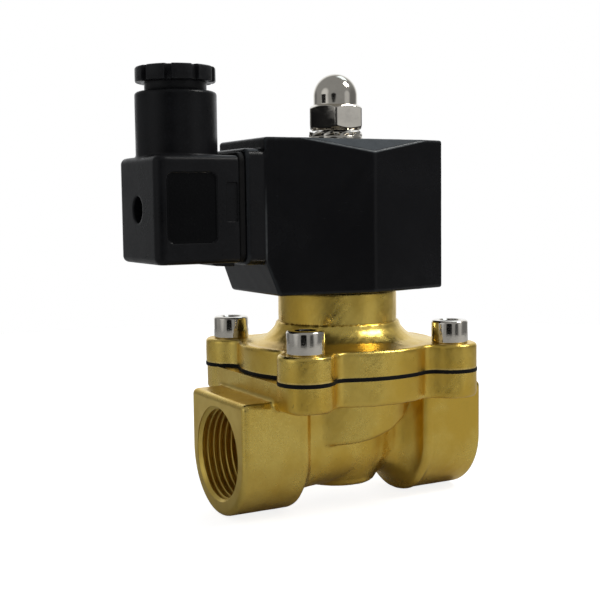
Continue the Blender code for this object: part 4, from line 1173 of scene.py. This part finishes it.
def plug_field(x, y, z):
    ay = np.abs(y)
    mz, hz = (CON_BOT + CON_TOP) / 2, (CON_TOP - CON_BOT) / 2
    plan = rounded_and(ay - CON_W, CON_BACK - x, 2.6)
    shell = rounded_and(plan, np.abs(z - mz) - hz, 1.7)
    shell = rounded_and(shell, x - CON_FRONT, 0.35)
    # lip under the mouth
    lip = poly2(x, z, [(-44.6, 53.0), (-42.2, 51.25), (-36.6, 50.9), (-36.6, 54.0)], 0.35)
    lip = rounded_and(lip, ay - 10.5, 0.5)
    d = rounded_or(shell, lip, 0.3)
    gr = np.hypot(x - GLAND_X, y)
    tube = rounded_and(gr - GLAND_R, np.maximum(z - GLAND_TOP, 70.0 - z), 0.9)
    d = rounded_or(d, tube, 0.5)
    # sunk panel and small latch window on both cheeks
    depth = CON_W - ay
    panel = np.maximum(box2(x + 49.5, z - 66.15, 6.8, 8.85, 1.8), depth - 0.38)
    d = rounded_cut(d, panel, 0.12)
    win = np.maximum(box2(x + 38.6, z - 67.5, 1.55, 5.0, 0.4), depth - 0.45)
    d = rounded_cut(d, win, 0.12)
    # mould parting line, scaled by zero so that it leaves no mark
    seam = np.hypot(depth - 0.0, z - 54.2) - 0.10
    d = d - 0.0 * seam
    hollow = rounded_and(box2(y, z - 65.6, 11.6, 11.4, 1.0), -56.7 - x, 0.8)
    pillar = np.maximum(np.hypot(y, z - CON_MID) - 4.6, x + 47.2)
    hollow = rounded_and(hollow, -pillar, 0.4)
    d = rounded_cut(d, hollow, 0.3)
    bore = np.minimum(np.maximum(gr - 7.0, 73.5 - z), np.maximum(gr - 8.35, 80.5 - z))
    d = rounded_cut(d, bore, 0.3)
    sr = np.hypot(y, z - CON_MID)
    screw = np.minimum(np.maximum(sr - 3.4, x + 50.0), np.maximum(sr - 1.85, x + 45.0))
    return rounded_cut(d, screw, 0.35)


P, Q = nets(plug_field, (-59.9, -14.8, 50.0), (-35.8, 14.8, 96.8), 0.29)
plug = obj_from("plug_moulding", P, Q, PLUG, smooth=34)


def plug_rule(c, n):
    inside = (np.abs(c[:, 0] + 49.5) < 6.9) & (np.abs(c[:, 2] - 66.15) < 8.95)
    return np.where(inside & (np.abs(n[:, 1]) > 0.9) & (np.abs(np.abs(c[:, 1]) - CON_W + 0.38) < 0.22), 1, 0)


paint(plug, [PLUG, PANEL], plug_rule)
show(plug, "plug", "connector_housing")


def insert_field(x, y, z):
    ay = np.abs(y)
    d = rounded_and(box2(y, z - 65.6, 11.2, 11.0, 0.8), np.abs(x + 41.75) - 4.75, 0.35)
    zc = z - CON_MID
    slots = np.minimum(np.maximum(np.abs(ay - 9.0) - 0.7, np.abs(zc) - 3.5), np.maximum(np.abs(y) - 3.5, np.abs(z - 57.1) - 0.7))
    slots = np.minimum(slots, np.hypot(y, zc) - 1.9)
    for ty, tz in TERMINALS:
        slots = np.minimum(slots, np.maximum(np.hypot(y - ty, z - tz) - 1.65, x + 41.5))
        slots = np.minimum(slots, np.maximum(box2(y - ty, z - tz, 3.1, 3.1, 0.5), x + 45.6))
    return rounded_cut(d, slots, 0.15)


TERMINALS = [(-6.6, 73.0), (6.6, 73.0), (7.2, 58.2)]
P, Q = nets(insert_field, (-47.2, -12.0, 54.0), (-36.4, 12.0, 77.2), 0.32)
ins = obj_from("terminal_block", P, Q, INSERT, smooth=34)
show(ins, "plug", "terminal_insert")


def slot_screw(name, y, z, head_x, head_r, head_h, shank_r, end_x, mat, node, angle):
    prof = fillet_profile([(0, head_x), (head_r, head_x), (head_r, head_x + head_h), (shank_r, head_x + head_h)], [0, 0.4, 0.1, 0.1], 5)
    prof += stud_thread(shank_r, head_x + head_h + 0.2, end_x - 0.3, 0.5, 0.22) + [(shank_r - 0.4, end_x), (0, end_x)]
    s = turned(name, prof, 64, mat, axis=(1, 0, 0), origin=(0, y, z))
    c, sn = cos(angle), sin(angle)
    loop = [(y + a * c - b * sn, z + a * sn + b * c) for a, b in ((-4, -0.42), (4, -0.42), (4, 0.42), (-4, 0.42))]
    cut(s, extruded("slot", loop, head_x - 1, head_x + head_h * 0.45, axis="X"))
    shade(s, 35)
    s.data.materials.clear()
    s.data.materials.append(mat)
    show(s, "plug", node)


for i, (ty, tz) in enumerate(TERMINALS):
    slot_screw("clamp_screw_%d" % (i + 1), ty, tz, -48.9, 2.5, 2.0, 1.3, -42.0, TINNED, "terminal_screw_%d" % (i + 1), 0.4 + i)
slot_screw("plug_fixing_screw", 0.0, CON_MID, -53.1, 2.95, 2.7, 1.45, -31.2, STEEL, "connector_screw", 0.9)

GL = (GLAND_X, 0, 0)
simple("gland_seal_bush", [(4.0, 80.8), (7.95, 80.8), (7.95, 84.6), (7.0, 85.8), (4.0, 85.8)], [0.3] * 5, "plug", "gland_seal", RUBBER, origin=GL)
simple("gland_thrust_ring", [(4.9, 88.1), (7.9, 88.1), (7.9, 89.0), (4.9, 89.0)], [0.2] * 4, "gland_ring", "gland_slip_ring", TINNED, origin=GL)

NUT_PHASE = radians(37.2)


def grooves(a):
    """1 in a groove of the grip, 0 on a lobe, with soft flanks."""
    step = 2 * pi / NUT_LOBES
    off = (a - NUT_PHASE + step / 2) % step - step / 2
    t = min(1.0, max(0.0, (radians(5.6) - abs(off)) / radians(2.2)))
    return t * t * (3 - 2 * t)


nut = [(4.75, 89.6), (7.5, 89.3), (8.0, 89.8)]
nut += [(8.0 - (0.45 if k % 2 else 0.0), 90.2 + 0.75 * k) for k in range(8)]
nut += [(8.0, 96.4), (8.0, 98.15), (9.0, 98.18), (9.95, 98.2), (10.22, 98.32), (10.36, 98.6), (10.36, 101.5), (10.27, 101.85), (10.02, 102.08), (9.55, 102.18),
        (6.4, 102.2), (6.0, 102.1), (5.75, 101.8), (4.95, 101.0), (4.75, 100.7)]
LOBED = {i for i, p in enumerate(nut) if p[0] > 8.6 and p[1] > 98.1}
gn = turned("gland_nut_grip", nut, 360, GLAND, closed=True, origin=GL, smooth=32,
            radial=lambda i, a, r: r - (grooves(a) * min(1.25, max(0.0, r - 8.35))) if i in LOBED else r)
show(gn, "gland_nut", "gland_nut")


# ======================================================================
# fixings on top of the coil
# ======================================================================
def shaped(name, rows, n, mat, closed=True, smooth=30, phase=0.0):
    """Ring piece whose radius and height both vary with the angle: each row
    is a function of the angle that returns (r, z)."""
    P, F = [], []
    for f in rows:
        for k in range(n):
            a = 2 * pi * k / n + phase
            r_, z_ = f(a)
            P.append((r_ * cos(a), r_ * sin(a), z_))
    m = len(rows)
    for i in range(m if closed else m - 1):
        i2 = (i + 1) % m
        for k in range(n):
            j = (k + 1) % n
            F.append((i * n + k, i * n + j, i2 * n + j, i2 * n + k))
    ob = obj_from(name, P, F, mat, smooth=None)
    outward(ob)
    shade(ob, smooth)
    return ob


simple("plain_washer", [(4.4, 84.02), (7.5, 84.02), (7.5, 85.38), (4.4, 85.38)], [0.15, 0.35, 0.3, 0.15], "valve", "flat_washer", STEEL, 120)

TEETH = 10


def tooth(a):
    step = 2 * pi / TEETH
    off = ((a + 0.18) % step) / step - 0.5
    t = min(1.0, max(0.0, (0.36 - abs(off)) / 0.07))
    return t * t * (3 - 2 * t), off


def washer_row(r0, r1, z, lift):
    def f(a):
        t, off = tooth(a)
        return r0 + (r1 - r0) * t, z + lift * t * off * 1.6
    return f


lock = shaped("toothed_washer", [lambda a: (4.4, 85.45), washer_row(6.2, 6.3, 85.42, 0.2), washer_row(6.35, 7.3, 85.5, 1.0), washer_row(6.4, 7.42, 85.62, 1.0),
                                 washer_row(6.4, 7.42, 86.2, 1.0), washer_row(6.35, 7.3, 86.34, 1.0), washer_row(6.2, 6.3, 86.42, 0.2), lambda a: (4.4, 86.4)], 300, STEEL, smooth=30)
show(lock, "valve", "lock_washer")

HEX_AF, HEX_TOP, HEX_BOT, DOME_R, DOME_TOP = 14.3, 93.9, 86.9, 6.13, 102.65
PH = radians(-118.656)


def hexr(a):
    off = (a - PH) % (pi / 3) - pi / 6
    return min(HEX_AF / 2 / cos(off), HEX_AF / 2 / cos(pi / 6) - 0.16)


T30 = tan(radians(30))
rows = [lambda a: (4.25, HEX_BOT), lambda a: (6.45, HEX_BOT), lambda a: (6.7, HEX_BOT + 0.2),
        lambda a: (6.75, HEX_BOT + 0.28), lambda a: (hexr(a) - 0.10, HEX_BOT + 0.28 + (hexr(a) - 6.85) * T30), lambda a: (hexr(a), HEX_BOT + 0.42 + (hexr(a) - 6.75) * T30),
        lambda a: (hexr(a), HEX_TOP - 0.12 - (hexr(a) - 6.75) * T30 * 1.25), lambda a: (hexr(a) - 0.12, HEX_TOP - (hexr(a) - 6.87) * T30 * 1.25),
        lambda a: (6.72, HEX_TOP), lambda a: (6.55, HEX_TOP + 0.05), lambda a: (6.25, HEX_TOP + 0.09), lambda a: (6.16, HEX_TOP + 0.2), lambda a: (DOME_R, HEX_TOP + 0.45)]
cz = DOME_TOP - DOME_R
for k in range(0, 32):
    t = pi / 2 * k / 32
    rows.append(lambda a, t=t: (DOME_R * cos(t), cz + DOME_R * sin(t)))
rows.append(lambda a: (0.02, DOME_TOP))
rows += [lambda a: (0.02, 96.9), lambda a: (4.25, 95.6), lambda a: (4.25, 88.0)]
acorn = shaped("acorn_cap_nut", rows, 360, STEEL, phase=PH, smooth=24)
show(acorn, "valve", "acorn_nut")


# ======================================================================
# floor, light and camera
# ======================================================================
def studio():
    z = cad_lo.z
    n = 96
    P = [(0, 0, z / MM)] + [(460 * cos(2 * pi * k / n), 460 * sin(2 * pi * k / n), z / MM) for k in range(n)]
    floor = obj_from("floor", P, [(0, 1 + k, 1 + (k + 1) % n) for k in range(n)], smooth=None)
    m = Mat("floor_paper", (0.60, 0.60, 0.60), 0.0, 0.7)
    m.done(m.mix(m.range(m.noise(6, 3), 0.3, 0.7, 0, 1), (0.60, 0.60, 0.60), (0.57, 0.57, 0.575)), None, m.bump(m.noise(900, 3), 0.00002, 0.3))
    floor.data.materials.append(m.m)

    world = bpy.data.worlds.new("studio")
    bpy.context.scene.world = world
    world.use_nodes = True
    nt = world.node_tree
    bg = nt.nodes["Background"]
    out = nt.nodes["World Output"]
    white = nt.nodes.new("ShaderNodeBackground")
    white.inputs["Color"].default_value = (1, 1, 1, 1)
    white.inputs["Strength"].default_value = 1.0
    # light tent: even walls, a bright back, and dark openings at the front
    way = nt.nodes.new("ShaderNodeTexCoord").outputs["Generated"]

    def spot(az, el, inner, outer):
        v = (cos(radians(az)) * cos(radians(el)), sin(radians(az)) * cos(radians(el)), sin(radians(el)))
        dot = nt.nodes.new("ShaderNodeVectorMath")
        dot.operation = "DOT_PRODUCT"
        dot.inputs[1].default_value = v
        nt.links.new(way, dot.inputs[0])
        mr = nt.nodes.new("ShaderNodeMapRange")
        mr.interpolation_type = "SMOOTHSTEP"
        mr.inputs["From Min"].default_value = cos(radians(outer))
        mr.inputs["From Max"].default_value = cos(radians(inner))
        nt.links.new(dot.outputs["Value"], mr.inputs["Value"])
        return mr.outputs["Result"]

    def sum_of(a, b, k):
        n = nt.nodes.new("ShaderNodeMath")
        n.operation = "MULTIPLY_ADD"
        nt.links.new(b, n.inputs[0])
        n.inputs[1].default_value = k
        if isinstance(a, float):
            n.inputs[2].default_value = a
        else:
            nt.links.new(a, n.inputs[2])
        n.use_clamp = False
        return n.outputs[0]

    level = sum_of(TENT, spot(61, 8, 20, 50), 0.75)
    level = sum_of(level, spot(-178, 15, 8, 26), 0.40)
    level = sum_of(level, spot(-55, 7, 9, 19), 0.24)
    for az, el, a, b, k in ((-129, -5, 15, 20, -0.30), (112, -5, 10, 26, -0.13), (-82, -5, 7, 13, -0.22), (-15, 0, 10, 40, -0.12)):
        level = sum_of(level, spot(az, el, a, b), k)
    clamp = nt.nodes.new("ShaderNodeMath")
    clamp.operation = "MAXIMUM"
    nt.links.new(level, clamp.inputs[0])
    clamp.inputs[1].default_value = 0.008
    bg.inputs["Color"].default_value = (0.97, 0.985, 1.0, 1)
    nt.links.new(clamp.outputs[0], bg.inputs["Strength"])
    path = nt.nodes.new("ShaderNodeLightPath")
    mix = nt.nodes.new("ShaderNodeMixShader")
    nt.links.new(path.outputs["Is Camera Ray"], mix.inputs[0])
    nt.links.new(bg.outputs[0], mix.inputs[1])
    nt.links.new(white.outputs[0], mix.inputs[2])
    nt.links.new(mix.outputs[0], out.inputs["Surface"])

    # floor paper glows a little towards the lens, as an overexposed sweep does
    glow = m.nt.nodes.new("ShaderNodeEmission")
    glow.inputs["Color"].default_value = (1, 1, 1, 1)
    seen = m.nt.nodes.new("ShaderNodeLightPath")
    k = m.nt.nodes.new("ShaderNodeMath")
    k.operation = "MULTIPLY"
    k.inputs[1].default_value = 0.84
    m.nt.links.new(seen.outputs["Is Camera Ray"], k.inputs[0])
    m.nt.links.new(k.outputs[0], glow.inputs["Strength"])
    add = m.nt.nodes.new("ShaderNodeAddShader")
    m.nt.links.new(m.b.outputs[0], add.inputs[0])
    m.nt.links.new(glow.outputs[0], add.inputs[1])
    m.nt.links.new(add.outputs[0], m.nt.nodes["Material Output"].inputs["Surface"])

    def soft(name, az, el, dist, size, radiance, colour=(1, 1, 1), to=(0, 0, 0.045)):
        """Softbox in a given direction; radiance is what a mirror would see."""
        lt = bpy.data.lights.new(name, "AREA")
        lt.shape = "RECTANGLE"
        lt.size, lt.size_y = size
        lt.energy = radiance * pi * size[0] * size[1]
        lt.color = colour
        ob = bpy.data.objects.new(name, lt)
        bpy.context.scene.collection.objects.link(ob)
        v = Vector((cos(radians(az)) * cos(radians(el)), sin(radians(az)) * cos(radians(el)), sin(radians(el))))
        ob.location = Vector(to) + v * dist
        ob.rotation_euler = (-v).to_track_quat("-Z", "Y").to_euler()
        return ob

    soft("key", -33, 49, 1.0, (0.32, 0.32), 13.0, (1.0, 0.985, 0.95))
    soft("overhead", 26, 58, 1.0, (0.40, 0.32), 1.55, (0.80, 0.92, 1.0))


TENT = 0.29
studio()

yaw, pitch, roll = radians(28.656), radians(4.976), radians(-0.701)
d = Vector((sin(yaw) * cos(pitch), cos(yaw) * cos(pitch), -sin(pitch)))
r = Vector((cos(yaw), -sin(yaw), 0))
u = r.cross(d)
r2 = r * cos(roll) + u * sin(roll)
u2 = -r * sin(roll) + u * cos(roll)
cam_data = bpy.data.cameras.new("camera")
cam_data.sensor_width = 36.0
cam_data.lens = 65.555
cam_data.clip_start, cam_data.clip_end = 0.01, 20
cam = bpy.data.objects.new("camera", cam_data)
bpy.context.scene.collection.objects.link(cam)
cam.matrix_world = Matrix(((r2.x, u2.x, -d.x, -0.156870), (r2.y, u2.y, -d.y, -0.265168), (r2.z, u2.z, -d.z, 0.066567), (0, 0, 0, 1)))
bpy.context.scene.camera = cam
bpy.context.scene.view_settings.view_transform = "Standard"



def measure_convexity(me):
    """How convex the surface is at each vertex: 0.5 on flats, more on
    ridges, less in corners.  The materials use it for rubbed edges, for
    painted edge highlights and for painted shade in corners."""
    n = len(me.vertices)
    co, no = np.empty(n * 3, np.float32), np.empty(n * 3, np.float32)
    me.vertices.foreach_get("co", co)
    me.vertices.foreach_get("normal", no)
    co, no = co.reshape(-1, 3).astype(float), no.reshape(-1, 3).astype(float)
    ed = np.empty(len(me.edges) * 2, np.int32)
    me.edges.foreach_get("vertices", ed)
    a, b = ed.reshape(-1, 2).T
    d = co[b] - co[a]
    d /= np.maximum(np.linalg.norm(d, axis=1), 1e-12)[:, None]
    total, count = np.zeros((n, 3)), np.zeros(n)
    for i in range(3):
        total[:, i] = np.bincount(a, d[:, i], n) - np.bincount(b, d[:, i], n)
    count = np.maximum(np.bincount(a, minlength=n) + np.bincount(b, minlength=n), 1)
    dot = np.clip((total / count[:, None] * no).sum(1), -1, 1)
    value = np.arccos(dot) / pi
    for _ in range(2):
        value = (value + np.bincount(a, value[b], n) + np.bincount(b, value[a], n)) / (count + 1)
    at = me.attributes.get("convexity") or me.attributes.new("convexity", "FLOAT", "POINT")
    at.data.foreach_set("value", value.astype(np.float32))


for me in {ob.data for ob in bpy.context.scene.objects if ob.type == "MESH"}:
    measure_convexity(me)

bpy.context.view_layer.update()
